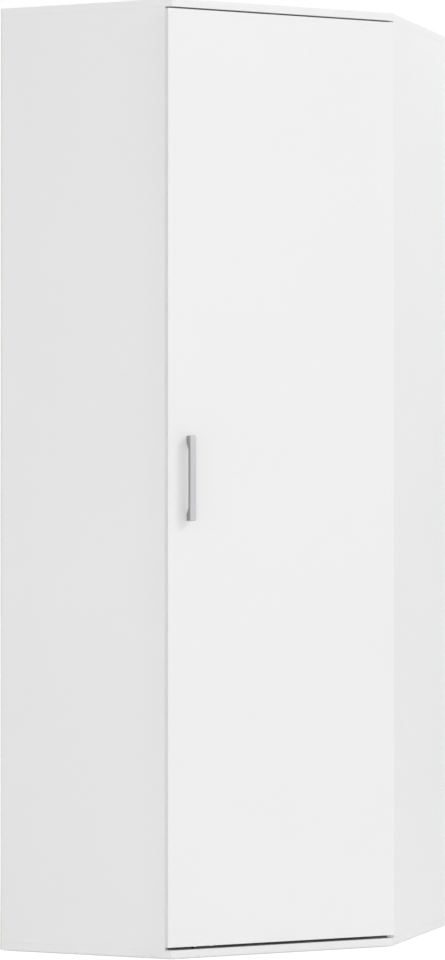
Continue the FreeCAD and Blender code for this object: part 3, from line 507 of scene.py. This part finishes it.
BOARD_FOIL = MelamineFinish("white_foil", (0.863, 0.862, 0.863), 0.44)
EDGE_BAND = EdgeBandFinish("white_edge_band", (0.873, 0.872, 0.873), 0.48)
# The door's edge band is the white band made a little darker: painted shade for the shaded strip along the
# door's edges.
SHADED_DOOR_BAND = EdgeBandFinish("door_edge_band_painted_shade", (0.855, 0.855, 0.855), 0.48)
FIBRE_BROWN = (0.32, 0.2, 0.115)
LEFT_WALL = BareFace(axis=0, place=-0.378359, side=1.0)
RIGHT_WALL = BareFace(axis=1, place=0.381364, side=-1.0)
LEFT_BACK = HardboardFinish("left_hardboard", FIBRE_BROWN, 0.72, bare=(LEFT_WALL,))
RIGHT_BACK = HardboardFinish("right_hardboard", FIBRE_BROWN, 0.72, bare=(RIGHT_WALL, LEFT_WALL))
SATIN_ALUMINIUM = MetalFinish(
    "satin_aluminium_bar", (0.515, 0.515, 0.535), 0.46, lay=Lay.UPRIGHT, contrast=0.05
)
# Satin aluminium made darker for the handle's side faces: painted shade, standing in for the darker
# reflection that the sides show.
SHADED_ALUMINIUM_SIDES = MetalFinish(
    "aluminium_sides_painted_shade", (0.385, 0.385, 0.395), 0.5, lay=Lay.UPRIGHT, contrast=0.05
)
NICKEL = MetalFinish("nickel_plate", (0.63, 0.605, 0.57), 0.27, contrast=0.03, marks=0.000008)
ZINC = MetalFinish("dull_zinc", (0.52, 0.515, 0.5), 0.42, contrast=0.12)
CHROME = MetalFinish(
    "bright_chrome", (0.74, 0.745, 0.76), 0.13, lay=Lay.LEVEL, contrast=0.02, marks=0.00001
)
WHITE_PLASTIC = PlasticFinish("white_moulding", (0.8, 0.8, 0.79), 0.46)
DARK_PLASTIC = PlasticFinish("dark_moulding", (0.045, 0.045, 0.05), 0.5)
BEECH = BeechFinish("raw_beech", (0.6, 0.41, 0.24), 0.62)
FERRITE = FerriteFinish("ferrite", (0.075, 0.075, 0.08), 0.55)


def choose_only(piece: Piece) -> None:
    """Select one object and nothing else."""
    bpy.ops.object.select_all(action="DESELECT")
    piece.select_set(True)
    bpy.context.view_layer.objects.active = piece


def settle(piece: Piece, name: str) -> Piece:
    """Name a new object and put its place into its mesh.

    Args:
        piece: Object that was just added and is the only one selected.
        name: Name for the object and its mesh.

    Returns:
        The same object, at the origin.
    """
    piece.name = name
    piece.data.name = name
    bpy.ops.object.transform_apply(location=True, rotation=True, scale=True)
    return piece


def add_block(name: str, centre: Vector, size: Triple, turn: float = 0.0) -> Piece:
    """Add a block from the cube primitive.

    Args:
        name: Name of the piece.
        centre: Middle of the block.
        size: Length along its own X, Y and Z.
        turn: Turn about Z.

    Returns:
        The block.
    """
    bpy.ops.mesh.primitive_cube_add(size=1.0, location=centre, rotation=(0.0, 0.0, turn))
    block = bpy.context.active_object
    block.scale = size
    return settle(block, name)


def add_rod(
    name: str, centre: Vector, direction: Vector, radius: float, length: float, sides: int = 48
) -> Piece:
    """Add a rod from the cylinder primitive.

    Args:
        name: Name of the piece.
        centre: Middle of the rod.
        direction: Way that its axis runs.
        radius: Radius of the rod.
        length: Length of the rod.
        sides: Number of flat sides round it.

    Returns:
        The rod.
    """
    turn = UPWARD.rotation_difference(direction).to_euler()
    bpy.ops.mesh.primitive_cylinder_add(
        vertices=sides, radius=radius, depth=length, location=centre, rotation=turn
    )
    return settle(bpy.context.active_object, name)


def round_edges(piece: Piece, radius: float, steps: int, wanted: EdgeTest) -> None:
    """Bevel the edges of a mesh that pass a test.

    Args:
        piece: Object to shape.
        radius: Width of the bevel.
        steps: Number of segments.
        wanted: Test that takes an edge's two ends.
    """
    choose_only(piece)
    bpy.ops.object.mode_set(mode="EDIT")
    bpy.ops.mesh.select_mode(type="EDGE")
    bpy.ops.mesh.select_all(action="DESELECT")
    bpy.ops.object.mode_set(mode="OBJECT")
    mesh = piece.data
    for edge in mesh.edges:
        edge.select = wanted(*(mesh.vertices[index].co for index in edge.vertices))
    bpy.ops.object.mode_set(mode="EDIT")
    bpy.ops.mesh.bevel(offset=radius, offset_type="OFFSET", segments=steps, profile=0.5, affect="EDGES")
    bpy.ops.object.mode_set(mode="OBJECT")


def slice_off(piece: Piece, point: Vector, normal: Vector) -> None:
    """Cut a piece by a plane and take away the side that the normal points to.

    Args:
        piece: Object to cut.
        point: Point of the plane.
        normal: Normal of the plane.
    """
    choose_only(piece)
    bpy.ops.object.mode_set(mode="EDIT")
    bpy.ops.mesh.select_all(action="SELECT")
    bpy.ops.mesh.bisect(plane_co=point, plane_no=normal, use_fill=True, clear_outer=True)
    bpy.ops.object.mode_set(mode="OBJECT")


def discard(piece: Piece) -> None:
    """Remove an object and its mesh."""
    spare = piece.data
    bpy.data.objects.remove(piece)
    bpy.data.meshes.remove(spare)


def copy_to(master: Piece, name: str, place: Matrix) -> Piece:
    """Copy a piece that is modelled at the origin, with a mesh of its own.

    Args:
        master: Piece to copy.
        name: Name of the copy and its mesh.
        place: Turn and move of the copy's mesh.

    Returns:
        The copy, at the origin.
    """
    piece = master.copy()
    piece.data = master.data.copy()
    piece.name = name
    piece.data.name = name
    piece.data.transform(place)
    bpy.context.scene.collection.objects.link(piece)
    return piece


def cut_away(piece: Piece, cutters: list[Piece]) -> None:
    """Take cutters away from a piece.

    Args:
        piece: Object to cut.
        cutters: Closed objects, which are removed afterwards.
    """
    for cutter in cutters:
        modifier = piece.modifiers.new("cut", "BOOLEAN")
        modifier.operation = "DIFFERENCE"
        modifier.solver = "EXACT"
        modifier.object = cutter
        choose_only(piece)
        bpy.ops.object.modifier_apply(modifier=modifier.name)
        discard(cutter)


def soften(piece: Piece, radius: float, steps: int = 2) -> None:
    """Round the sharp edges that are left, with a bevel modifier that is applied.

    Args:
        piece: Object to finish.
        radius: Width of the bevel.
        steps: Number of segments.
    """
    bevel = piece.modifiers.new("soft_edges", "BEVEL")
    bevel.width = radius
    bevel.segments = steps
    bevel.limit_method = "ANGLE"
    bevel.angle_limit = SHARP_EDGE
    bevel.harden_normals = False
    choose_only(piece)
    bpy.ops.object.modifier_apply(modifier=bevel.name)


def smooth(piece: Piece, angle: float = 32.0, flat_ways: tuple[Vector, ...] = ()) -> None:
    """Shade a piece smooth.

    Args:
        piece: Object to shade.
        angle: Angle in degrees above which an edge stays sharp.
        flat_ways: Normals of the faces that stay flat, so that rounded edges don't bend their shading.
    """
    choose_only(piece)
    bpy.ops.object.shade_smooth_by_angle(angle=math.radians(angle))
    for polygon in piece.data.polygons:
        if any(abs(polygon.normal.dot(way)) > SAME_WAY for way in flat_ways):
            polygon.use_smooth = False


def join(pieces: list[Piece], name: str) -> Piece:
    """Join pieces into one object.

    Args:
        pieces: Objects to join, two or more.
        name: Name of the joined object.

    Returns:
        The joined object.
    """
    bpy.ops.object.select_all(action="DESELECT")
    for piece in pieces:
        piece.select_set(True)
    bpy.context.view_layer.objects.active = pieces[0]
    bpy.ops.object.join()
    whole = bpy.context.view_layer.objects.active
    whole.name = name
    whole.data.name = name
    return whole


def place_copies(master: Piece, name: str, places: list[Matrix]) -> Piece:
    """Copy a piece to many places and join the copies.

    Args:
        master: Piece to copy, which is removed afterwards.
        name: Name of the joined object.
        places: Turn and move of each copy.

    Returns:
        The joined object.
    """
    copies = [copy_to(master, f"{name}_{number}", place) for number, place in enumerate(places)]
    discard(master)
    return join(copies, name)


def turned(place: Vector, start: Vector, end: Vector) -> Matrix:
    """Turn from one direction to another and move to a place."""
    return Matrix.Translation(place) @ start.rotation_difference(end).to_matrix().to_4x4()


def paint(piece: Piece, *finishes: Finish) -> None:
    """Give an object its materials, one slot for each finish."""
    piece.data.materials.clear()
    for finish in finishes:
        piece.data.materials.append(finish.material())


def paint_facing(piece: Piece, way: Vector, facing: Finish, others: Finish) -> None:
    """Paint the faces that look mainly along a way, and the others.

    Args:
        piece: Object to paint.
        way: Direction of the faces on both sides of the object.
        facing: Finish of those faces.
        others: Finish of the other faces.
    """
    paint(piece, facing, others)
    for polygon in piece.data.polygons:
        polygon.material_index = 0 if abs(polygon.normal.dot(way)) > MAINLY else 1


def hand_over(piece: Piece, body: Body, node: str) -> None:
    """Let a finished piece ride on its body in place of a CAD node.

    Args:
        piece: Finished object.
        body: Body that carries it.
        node: CAD node that the piece stands for.
    """
    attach(piece, body.value)
    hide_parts(node)
    LOGGER.info("%s rides on %s in place of %s", piece.name, body.value, node)


def standing_order(points: list[Vector]) -> tuple[float, float]:
    """Key that sorts solids by height to a tenth of a millimetre, and level ones by X."""
    level = round(min(point.z for point in points), 4)
    return level, min(point.x for point in points)


def loose_parts(node: str) -> list[list[Vector]]:
    """Separate solids of a CAD node.

    Args:
        node: Name of the node.

    Returns:
        One list of points for each solid, in order of height.
    """
    solid = bmesh.new()
    solid.from_mesh(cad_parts[node].data)
    bmesh.ops.remove_doubles(solid, verts=solid.verts, dist=NEAR)
    parts = []
    seen = set()
    for start in solid.verts:
        if start in seen:
            continue
        seen.add(start)
        queue = [start]
        points = []
        while queue:
            vertex = queue.pop()
            points.append(vertex.co.copy())
            for edge in vertex.link_edges:
                other = edge.other_vert(vertex)
                if other not in seen:
                    seen.add(other)
                    queue.append(other)
        parts.append(points)
    solid.free()
    return sorted(parts, key=standing_order)


def box_of(points: list[Vector]) -> tuple[Vector, Vector]:
    """Lowest and highest corner of the box round some points."""
    low = Vector(min(point[axis] for point in points) for axis in range(3))
    high = Vector(max(point[axis] for point in points) for axis in range(3))
    return low, high


def middle_of(points: list[Vector]) -> Vector:
    """Middle of the box round some points."""
    low, high = box_of(points)
    return (low + high) / 2


def thin_axis(low: Vector, high: Vector) -> int:
    """Index of the axis along which a box is thinnest."""
    return min(range(3), key=lambda axis: high[axis] - low[axis])


def on_face(face: float, *points: Vector) -> bool:
    """Whether all points lie on or before a face at this place along the outward direction."""
    return min(point.dot(FRONT.outward()) for point in points) > face - FACE_PLAY


def level_edges(face: float) -> EdgeTest:
    """Test for level edges on a face at this place along the outward direction."""
    return lambda first, second: on_face(face, first, second) and abs(first.z - second.z) < NEAR


def edges_at(height: float) -> EdgeTest:
    """Test for edges that lie level at a height."""
    return lambda first, second: max(abs(first.z - height), abs(second.z - height)) < NEAR


@dataclass
class Boards:
    """Melamine boards of the carcass.

    Attributes:
        edge_radius: Rounding of the banded edges.
        post_gap: Play between the hat shelf and the corner post.
    """

    edge_radius: float = 0.0004
    post_gap: float = 0.0005

    def build(self) -> None:
        """Build and dress every board of the carcass."""
        for node in ("left_side_panel", "right_side_panel", "corner_post"):
            self.finish(self.blank(node), node)
        setbacks = {"top_panel": 0.0, "bottom_panel": 0.0, "hat_shelf": self.shelf_setback()}
        for node, setback in setbacks.items():
            panel = self.blank(node)
            slice_off(panel, FRONT.point(0.0, setback, 0.0), FRONT.outward())
            if node == "hat_shelf":
                self.notch(panel)
            self.finish(panel, node)

    def blank(self, node: str) -> Piece:
        """Add a block that fills a node's box."""
        low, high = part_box(node)
        return add_block(f"{node}_board", (low + high) / 2, tuple(high - low))

    def shelf_setback(self) -> float:
        """Distance of the shelf's front edge behind the front line."""
        corner = FRONT.point(0.0, 0.0, 0.0)
        spots = [vertex.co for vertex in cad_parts["hat_shelf"].data.vertices]
        return min((corner - spot).dot(FRONT.outward()) for spot in spots)

    def notch(self, shelf: Piece) -> None:
        """Cut the shelf's back corner out round the corner post.

        Args:
            shelf: Shelf to cut.
        """
        post_low, post_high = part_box("corner_post")
        low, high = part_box("hat_shelf")
        reach = 0.05
        first = Vector((low.x - reach, post_low.y - self.post_gap, low.z - reach))
        last = Vector((post_high.x + self.post_gap, high.y + reach, high.z + reach))
        cut_away(shelf, [add_block("notch_cutter", (first + last) / 2, tuple(last - first))])

    def finish(self, board: Piece, node: str) -> None:
        """Round a board's edges, dress its faces and bands, and hand it over.

        Args:
            board: Board to finish.
            node: CAD node that it stands for.
        """
        thin = thin_axis(*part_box(node))
        soften(board, self.edge_radius)
        paint_facing(board, Matrix.Identity(3)[thin], BOARD_FOIL, EDGE_BAND)
        smooth(board, flat_ways=CARCASS_WAYS)
        hand_over(board, Body.CARCASS, node)


@dataclass
class Door:
    """Full-height door leaf, bored for the cups of its hinges.

    Attributes:
        left: Left edge along the front line.
        right: Right edge along the front line.
        front: Front face, inward from the front line.
        back: Back face, inward from the front line.
        edge_radius: Rounding of the banded edges.
        cup_along: Middle of the hinge cups along the front line.
        cup_radius: Radius of their bores.
        cup_depth: Depth of their bores.
    """

    left: float = -0.0115
    right: float = 0.512117
    front: float = -0.0065
    back: float = 0.0095
    edge_radius: float = 0.0008
    cup_along: float = 0.490617
    cup_radius: float = 0.0176
    cup_depth: float = 0.01158

    def build(self) -> None:
        """Build and dress the door panel."""
        low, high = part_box("door_panel")
        middle = ((self.left + self.right) / 2, (self.front + self.back) / 2, (low.z + high.z) / 2)
        size = (self.right - self.left, self.back - self.front, high.z - low.z)
        panel = add_block("door_leaf", FRONT.point(*middle), size, FRONT.turn)
        soften(panel, self.edge_radius, steps=3)
        cut_away(panel, self.cup_cutters())
        # The door's edges take the darker band, which is painted shade.
        paint_facing(panel, FRONT.outward(), BOARD_FOIL, SHADED_DOOR_BAND)
        smooth(panel, flat_ways=DOOR_WAYS)
        hand_over(panel, Body.DOOR, "door_panel")

    def cup_cutters(self) -> list[Piece]:
        """Cutters for the bores of the hinge cups.

        Returns:
            One rod for each hinge.
        """
        reach = 0.004
        length = self.cup_depth + reach
        inward = self.back - (self.cup_depth - reach) / 2
        cutters = []
        for number in range(1, HINGES + 1):
            low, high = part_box(f"hinge_cup_{number}")
            centre = FRONT.point(self.cup_along, inward, (low.z + high.z) / 2)
            cutter = add_rod(f"cup_cutter_{number}", centre, FRONT.outward(), self.cup_radius, length)
            cutters.append(cutter)
        return cutters


@dataclass
class BowHandle:
    """Aluminium bow handle.

    Attributes:
        along: Middle of the bar along the front line.
        foot: Face of the door, inward from the front line.
        width: Width of the bar.
        projection: How far it stands out from the door.
        grip: Thickness of the grip.
        foot_length: Length of each foot up the door.
        sweep: Height from an end at which the legs have swept into the grip.
        leg_inset: How far the legs' sides lie behind the grip's sides.
        inner_radius: Rounding where the legs meet the grip.
        outer_radius: Rounding of the bar's outer ends.
        crown: Rounding of the grip's front edges.
        edge_radius: Rounding of the other edges.
    """

    along: float = 0.034
    foot: float = -0.0065
    width: float = 0.012
    projection: float = 0.026
    grip: float = 0.011
    foot_length: float = 0.012
    sweep: float = 0.034
    leg_inset: float = 0.0022
    inner_radius: float = 0.040
    outer_radius: float = 0.004
    crown: float = 0.0025
    edge_radius: float = 0.0006

    def build(self) -> None:
        """Build and dress the handle."""
        low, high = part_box("handle")
        length = high.z - low.z
        middle = (low.z + high.z) / 2
        centre = FRONT.point(self.along, self.foot - self.projection / 2, middle)
        bar = add_block("bow_handle_bar", centre, (self.width, self.projection, length), FRONT.turn)
        face = FRONT.point(self.along, self.foot - self.projection, middle).dot(FRONT.outward())
        round_edges(bar, self.outer_radius, steps=6, wanted=level_edges(face))
        cut_away(bar, [self.opening_cutter(length, middle), *self.side_cutters(length, middle)])

        def front_edge(first: Vector, second: Vector) -> bool:
            """Whether an edge runs up the bar at the side of its front face."""
            return on_face(face, first, second) and abs(first.z - second.z) > length / 2

        round_edges(bar, self.crown, steps=5, wanted=front_edge)
        soften(bar, self.edge_radius)
        # The side faces take the darker aluminium, which is painted shade; the front takes the satin
        # aluminium.
        paint_facing(bar, FRONT.rightward(), SHADED_ALUMINIUM_SIDES, SATIN_ALUMINIUM)
        smooth(bar, angle=38.0)
        hand_over(bar, Body.DOOR, "handle")

    def opening_cutter(self, length: float, middle: float) -> Piece:
        """Cutter for the space behind the grip, with swept ends that round off towards the grip.

        Args:
            length: Length of the handle.
            middle: Height of its middle.

        Returns:
            The cutter.
        """
        reach = 0.01
        space = self.projection - self.grip
        outward = FRONT.outward()
        centre = FRONT.point(self.along, self.foot - (space - reach) / 2, middle)
        size = (self.width + 2 * reach, space + reach, length)
        cutter = add_block("handle_cutter", centre, size, FRONT.turn)
        run = self.sweep - self.foot_length
        for side in (-1.0, 1.0):
            foot_end = FRONT.point(self.along, self.foot, middle + side * (length / 2 - self.foot_length))
            slice_off(cutter, foot_end, outward * run + UPWARD * side * space)
        face = FRONT.point(self.along, self.foot - space, middle).dot(outward)
        bend = math.atan2(space, run)
        width = self.inner_radius * math.tan(bend / 2)
        round_edges(cutter, width, steps=12, wanted=level_edges(face))
        return cutter

    def side_cutters(self, length: float, middle: float) -> list[Piece]:
        """Cutters that make the legs narrower than the grip.

        Args:
            length: Length of the handle.
            middle: Height of its middle.

        Returns:
            One cutter for each side of the bar.
        """
        reach = 0.005
        space = self.projection - self.grip
        width = self.leg_inset + reach
        cutters = []
        for side in (-1.0, 1.0):
            along = self.along + side * (self.width / 2 - self.leg_inset + width / 2)
            centre = FRONT.point(along, self.foot - (space - reach) / 2, middle)
            size = (width, space + reach, length + 2 * reach)
            cutters.append(add_block("leg_cutter", centre, size, FRONT.turn))
        return cutters


@dataclass
class ScrewKind:
    """A cross-head screw that is modelled once and copied to every place of a node.

    Attributes:
        node: CAD node with the screws.
        body: Body that carries them.
        direction: Way that the screws drive in, or None where some go up and some down.
        head_radius: Radius of the head.
        head_height: Height of the head.
        shank_radius: Radius of the shank.
        rim_round: Rounding of the head's rim, as a share of its height.
        slot_depth: Depth of the cross slots, as a share of the head's height.
        slot_length: Length of the cross slots, as a share of the head's radius.
        slot_width: Width of the cross slots, as a share of the head's radius.
    """

    node: str
    body: Body
    direction: Vector | None
    head_radius: float = 0.0036
    head_height: float = 0.002
    shank_radius: float = 0.00175
    rim_round: float = 0.55
    slot_depth: float = 0.55
    slot_length: float = 1.15
    slot_width: float = 0.26

    def build(self) -> None:
        """Build the screws of the node and hand them over as one piece."""
        solids = loose_parts(self.node)
        ways = [self.direction or self.drive(points) for points in solids]
        spans = [[point.dot(way) for point in points] for points, way in zip(solids, ways)]
        master = self.model(f"{self.node}_master", max(spans[0]) - min(spans[0]))
        places = []
        for points, way, span in zip(solids, ways, spans):
            middle = middle_of(points)
            head_top = middle + way * (min(span) - middle.dot(way))
            places.append(turned(head_top, DOWNWARD, way))
        whole = place_copies(master, f"{self.node}_cross_head", places)
        paint(whole, NICKEL)
        smooth(whole)
        hand_over(whole, self.body, self.node)

    def drive(self, points: list[Vector]) -> Vector:
        """Up or down, away from the wider end of a screw.

        Args:
            points: Points of the screw.

        Returns:
            The way that it drives in.
        """
        middle = middle_of(points)
        past_shank = self.shank_radius * 1.3
        wide = [point for point in points if (point - middle).xy.length > past_shank]
        return UPWARD if middle_of(wide).z < middle.z else DOWNWARD

    def model(self, name: str, length: float) -> Piece:
        """Model one screw that hangs down from its head at the origin.

        Args:
            name: Name of the screw.
            length: Length with its head.

        Returns:
            The screw.
        """
        middle = DOWNWARD * self.head_height / 2
        head = add_rod(name, middle, UPWARD, self.head_radius, self.head_height, sides=24)
        round_edges(head, self.head_height * self.rim_round, steps=3, wanted=edges_at(0.0))
        length_across = self.head_radius * self.slot_length
        width_across = self.head_radius * self.slot_width
        size = (length_across, width_across, 2 * self.slot_depth * self.head_height)
        cut_away(head, [add_block("cross_cutter", Vector(), size, turn) for turn in (0.0, math.pi / 2)])
        stem = length - self.head_height
        centre = DOWNWARD * (self.head_height + stem / 2)
        shank = add_rod(f"{name}_shank", centre, UPWARD, self.shank_radius, stem, sides=12)
        return join([head, shank], name)


@dataclass
class CamCovers:
    """White push-in caps over the cam locks.

    Attributes:
        radius: Radius of a cap.
        height: Height of a cap over the board.
        dome: Rounding of its rim.
    """

    radius: float = 0.0085
    height: float = 0.0012
    dome: float = 0.0008

    def build(self) -> None:
        """Build the caps and hand them over as one piece."""
        master = add_rod("cap_master", Vector(), UPWARD, self.radius, self.height, sides=40)
        round_edges(master, self.dome, steps=4, wanted=edges_at(self.height / 2))
        places = []
        for points in loose_parts("cam_covers"):
            middle = middle_of(points)
            axis = thin_axis(*box_of(points))
            out = Vector()
            out[axis] = -1.0 if middle[axis] > 0 else 1.0
            places.append(turned(middle, UPWARD, out))
        whole = place_copies(master, "cam_cover_caps", places)
        paint(whole, WHITE_PLASTIC)
        smooth(whole)
        hand_over(whole, Body.CARCASS, "cam_covers")


@dataclass
class Glides:
    """Nail-on glides under the bottom panel.

    Attributes:
        count: Number of glides.
        radius: Radius of the foot.
        height: Height of the foot.
        pin_radius: Radius of the nail.
        rounding: Rounding of the foot's lower rim.
    """

    count: int = 5
    radius: float = 0.011
    height: float = 0.0025
    pin_radius: float = 0.0015
    rounding: float = 0.0012

    def build(self) -> None:
        """Build the glides and hand each of them over."""
        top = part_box("glide_1")[1].z
        master = self.model(top)
        for number in range(1, self.count + 1):
            node = f"glide_{number}"
            low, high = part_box(node)
            spot = Vector(((low.x + high.x) / 2, (low.y + high.y) / 2, 0.0))
            glide = copy_to(master, f"{node}_moulding", Matrix.Translation(spot))
            hand_over(glide, Body.CARCASS, node)
        discard(master)

    def model(self, top: float) -> Piece:
        """Model one glide that stands at the origin.

        Args:
            top: Height of the nail's tip.

        Returns:
            The glide.
        """
        middle = UPWARD * self.height / 2
        foot = add_rod("glide_master", middle, UPWARD, self.radius, self.height, sides=40)
        round_edges(foot, self.rounding, steps=4, wanted=edges_at(0.0))
        nail_length = top - self.height
        nail_middle = UPWARD * (self.height + nail_length / 2)
        nail = add_rod("glide_nail", nail_middle, UPWARD, self.pin_radius, nail_length, sides=16)
        paint(foot, WHITE_PLASTIC)
        glide = join([foot, nail], "glide_master")
        smooth(glide)
        return glide


@dataclass
class Fittings:
    """CAD nodes whose shape is right as it is, with the finish that each one gets."""

    def build(self) -> None:
        """Dress the nodes."""
        finishes: dict[Finish, list[str]] = {
            LEFT_BACK: ["left_back_panel"],
            RIGHT_BACK: ["right_back_panel"],
            BEECH: ["dowels"],
            CHROME: ["clothes_rail"],
            ZINC: ["cam_locks", "cam_bolts", "back_nails", "left_wall_bracket", "right_wall_bracket"],
            WHITE_PLASTIC: ["rail_end_caps"],
            DARK_PLASTIC: ["catch_top", "catch_bottom"],
            FERRITE: ["catch_magnets"],
            NICKEL: ["shelf_supports", "hinge_pins", "strike_plates"],
        }
        finishes[NICKEL] += [f"rail_hanger_{side}" for side in ("left", "right")]
        for number in range(1, HINGES + 1):
            finishes[NICKEL] += [f"hinge_{piece}_{number}" for piece in ("cup", "arm", "plate")]
        for finish, nodes in finishes.items():
            for node in nodes:
                paint(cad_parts[node], finish)
                LOGGER.info("%s keeps its solid and gets %s", node, finish.name)


@dataclass(frozen=True)
class Lamp:
    """A soft square lamp that looks at the middle of the wardrobe.

    Attributes:
        name: Name of the lamp.
        away: Direction from the wardrobe to the lamp.
        distance: Distance from the wardrobe's middle.
        power: Power in watts.
        size: Side of the square.
    """

    name: str
    away: Triple
    distance: float
    power: float
    size: float

    def hang(self, scene: bpy.types.Scene, target: Vector) -> None:
        """Hang the lamp.

        Args:
            scene: Scene to light.
            target: Point that the lamp looks at.
        """
        direction = Vector(self.away).normalized()
        lamp = bpy.data.lights.new(self.name, "AREA")
        lamp.energy = self.power
        lamp.shape = "SQUARE"
        lamp.size = self.size
        holder = bpy.data.objects.new(self.name, lamp)
        scene.collection.objects.link(holder)
        holder.location = target + direction * self.distance
        holder.rotation_euler = direction.to_track_quat("Z", "Y").to_euler()


@dataclass
class Studio:
    """Pale floor, soft light and the camera of the photograph.

    Attributes:
        eye: Place of the camera.
        yaw: Turn of the view to the left of +Y, in degrees.
        pitch: Tilt of the view above the horizon, in degrees.
        lens: Focal length in millimetres.
        sensor: Longer side of the sensor in millimetres.
        far_end: Distance up to which the camera sees.
        sky: Strength of the light from all round.
        lamps: Lamps that shape the light.
        lit_height: Height of the point that the lamps look at.
        floor_side: Side of the square floor.
        floor_colour: Colour of the floor.
        floor_lift: Light that the floor adds towards the camera, so that it is white.
    """

    eye: Triple = (2.609, -6.782, 0.929)
    yaw: float = 21.18
    pitch: float = 0.52
    lens: float = 125.33
    sensor: float = 36.0
    far_end: float = 100.0
    sky: float = 0.63
    lamps: tuple[Lamp, ...] = (
        Lamp("key_lamp", (0.817, -0.189, 0.545), distance=9.0, power=127.5, size=1.9),
        Lamp("fill_lamp", (0.342, -0.938, -0.052), distance=7.6, power=112.0, size=1.15),
        Lamp("rim_lamp", (0.321, 0.383, 0.866), distance=3.0, power=15.3, size=1.2),
    )
    lit_height: float = 1.0
    floor_side: float = 40.0
    floor_colour: tuple[float, ...] = (0.9, 0.9, 0.9, 1.0)
    floor_lift: float = 0.5

    def build(self) -> None:
        """Set the stage."""
        scene = bpy.context.scene
        scene.view_settings.view_transform = "Standard"
        self.lay_floor()
        self.light_world(scene)
        for lamp in self.lamps:
            lamp.hang(scene, Vector((0.0, 0.0, self.lit_height)))
        self.stand_camera(scene)

    def background_share(self, tree: bpy.types.NodeTree) -> Socket:
        """Share that is 1 for what the camera sees, directly or in metal and glass.

        Args:
            tree: Node tree to add the nodes to.

        Returns:
            The share, 0 or 1.
        """
        path = tree.nodes.new("ShaderNodeLightPath")
        share = path.outputs["Is Camera Ray"]
        for ray in ("Is Glossy Ray", "Is Transmission Ray"):
            share = calculate(tree, "MAXIMUM", share, path.outputs[ray])
        return share

    def lay_floor(self) -> None:
        """Lay a wide pale floor that keeps the wardrobe's shadow."""
        bpy.ops.mesh.primitive_plane_add(size=self.floor_side, location=(0.0, 0.0, 0.0))
        floor = bpy.context.active_object
        floor.name = "studio_floor"
        sheet = NodeSheet("pale_floor")
        sheet.set(Base_Color=self.floor_colour, Roughness=0.9, Specular_IOR_Level=0.1, Emission_Color=WHITE)
        lift = calculate(sheet.tree, "MULTIPLY", self.background_share(sheet.tree), self.floor_lift)
        sheet.set(Emission_Strength=lift)
        floor.data.materials.append(sheet.material)

    def light_world(self, scene: bpy.types.Scene) -> None:
        """Light the scene from all round, with white behind the wardrobe.

        Args:
            scene: Scene to light.
        """
        world = bpy.data.worlds.new("white_studio")
        world.use_nodes = True
        scene.world = world
        tree = world.node_tree
        light = fill(tree, tree.nodes["Background"], Color=WHITE, Strength=self.sky)
        white = fill(tree, tree.nodes.new("ShaderNodeBackground"), Color=WHITE)
        mix = tree.nodes.new("ShaderNodeMixShader")
        tree.links.new(self.background_share(tree), mix.inputs[0])
        tree.links.new(light.outputs[0], mix.inputs[1])
        tree.links.new(white.outputs[0], mix.inputs[2])
        fill(tree, tree.nodes["World Output"], Surface=mix.outputs[0])

    def stand_camera(self, scene: bpy.types.Scene) -> None:
        """Stand the camera where the photograph was taken.

        Args:
            scene: Scene that the camera belongs to.
        """
        data = bpy.data.cameras.new("photo_camera")
        data.sensor_width = self.sensor
        data.lens = self.lens
        data.clip_end = self.far_end
        camera = bpy.data.objects.new("photo_camera", data)
        scene.collection.objects.link(camera)
        camera.location = self.eye
        camera.rotation_euler = (math.radians(LOOK_LEVEL + self.pitch), 0.0, math.radians(self.yaw))
        scene.camera = camera


def screws() -> list[ScrewKind]:
    """Kinds of screws with their places and directions.

    Returns:
        One kind for each CAD node of screws.
    """
    outward = FRONT.outward()
    return [
        ScrewKind("hinge_cup_screws", Body.DOOR, outward),
        ScrewKind("strike_plate_screws", Body.DOOR, outward),
        ScrewKind("hinge_plate_screws", Body.CARCASS, TO_RIGHT_SIDE),
        ScrewKind(
            "hinge_arm_screws", Body.CARCASS, TO_RIGHT_SIDE,
            head_radius=0.0045, head_height=0.0025, shank_radius=0.0025,
        ),
        ScrewKind("wall_bracket_screws", Body.CARCASS, UPWARD),
        ScrewKind("rail_hanger_screws", Body.CARCASS, UPWARD),
        ScrewKind("catch_screws", Body.CARCASS, None),
        ScrewKind(
            "handle_screws", Body.DOOR, outward, head_radius=0.004, head_height=0.0026, shank_radius=0.002
        ),
    ]


def main() -> None:
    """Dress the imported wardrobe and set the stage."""
    logging.basicConfig(level=logging.INFO, format="%(message)s")
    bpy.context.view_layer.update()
    assemblies = [Boards(), Door(), BowHandle(), CamCovers(), Glides(), Fittings(), *screws(), Studio()]
    for assembly in assemblies:
        assembly.build()
        LOGGER.info("built %s", type(assembly).__name__)


if __name__ == "__main__":
    main()
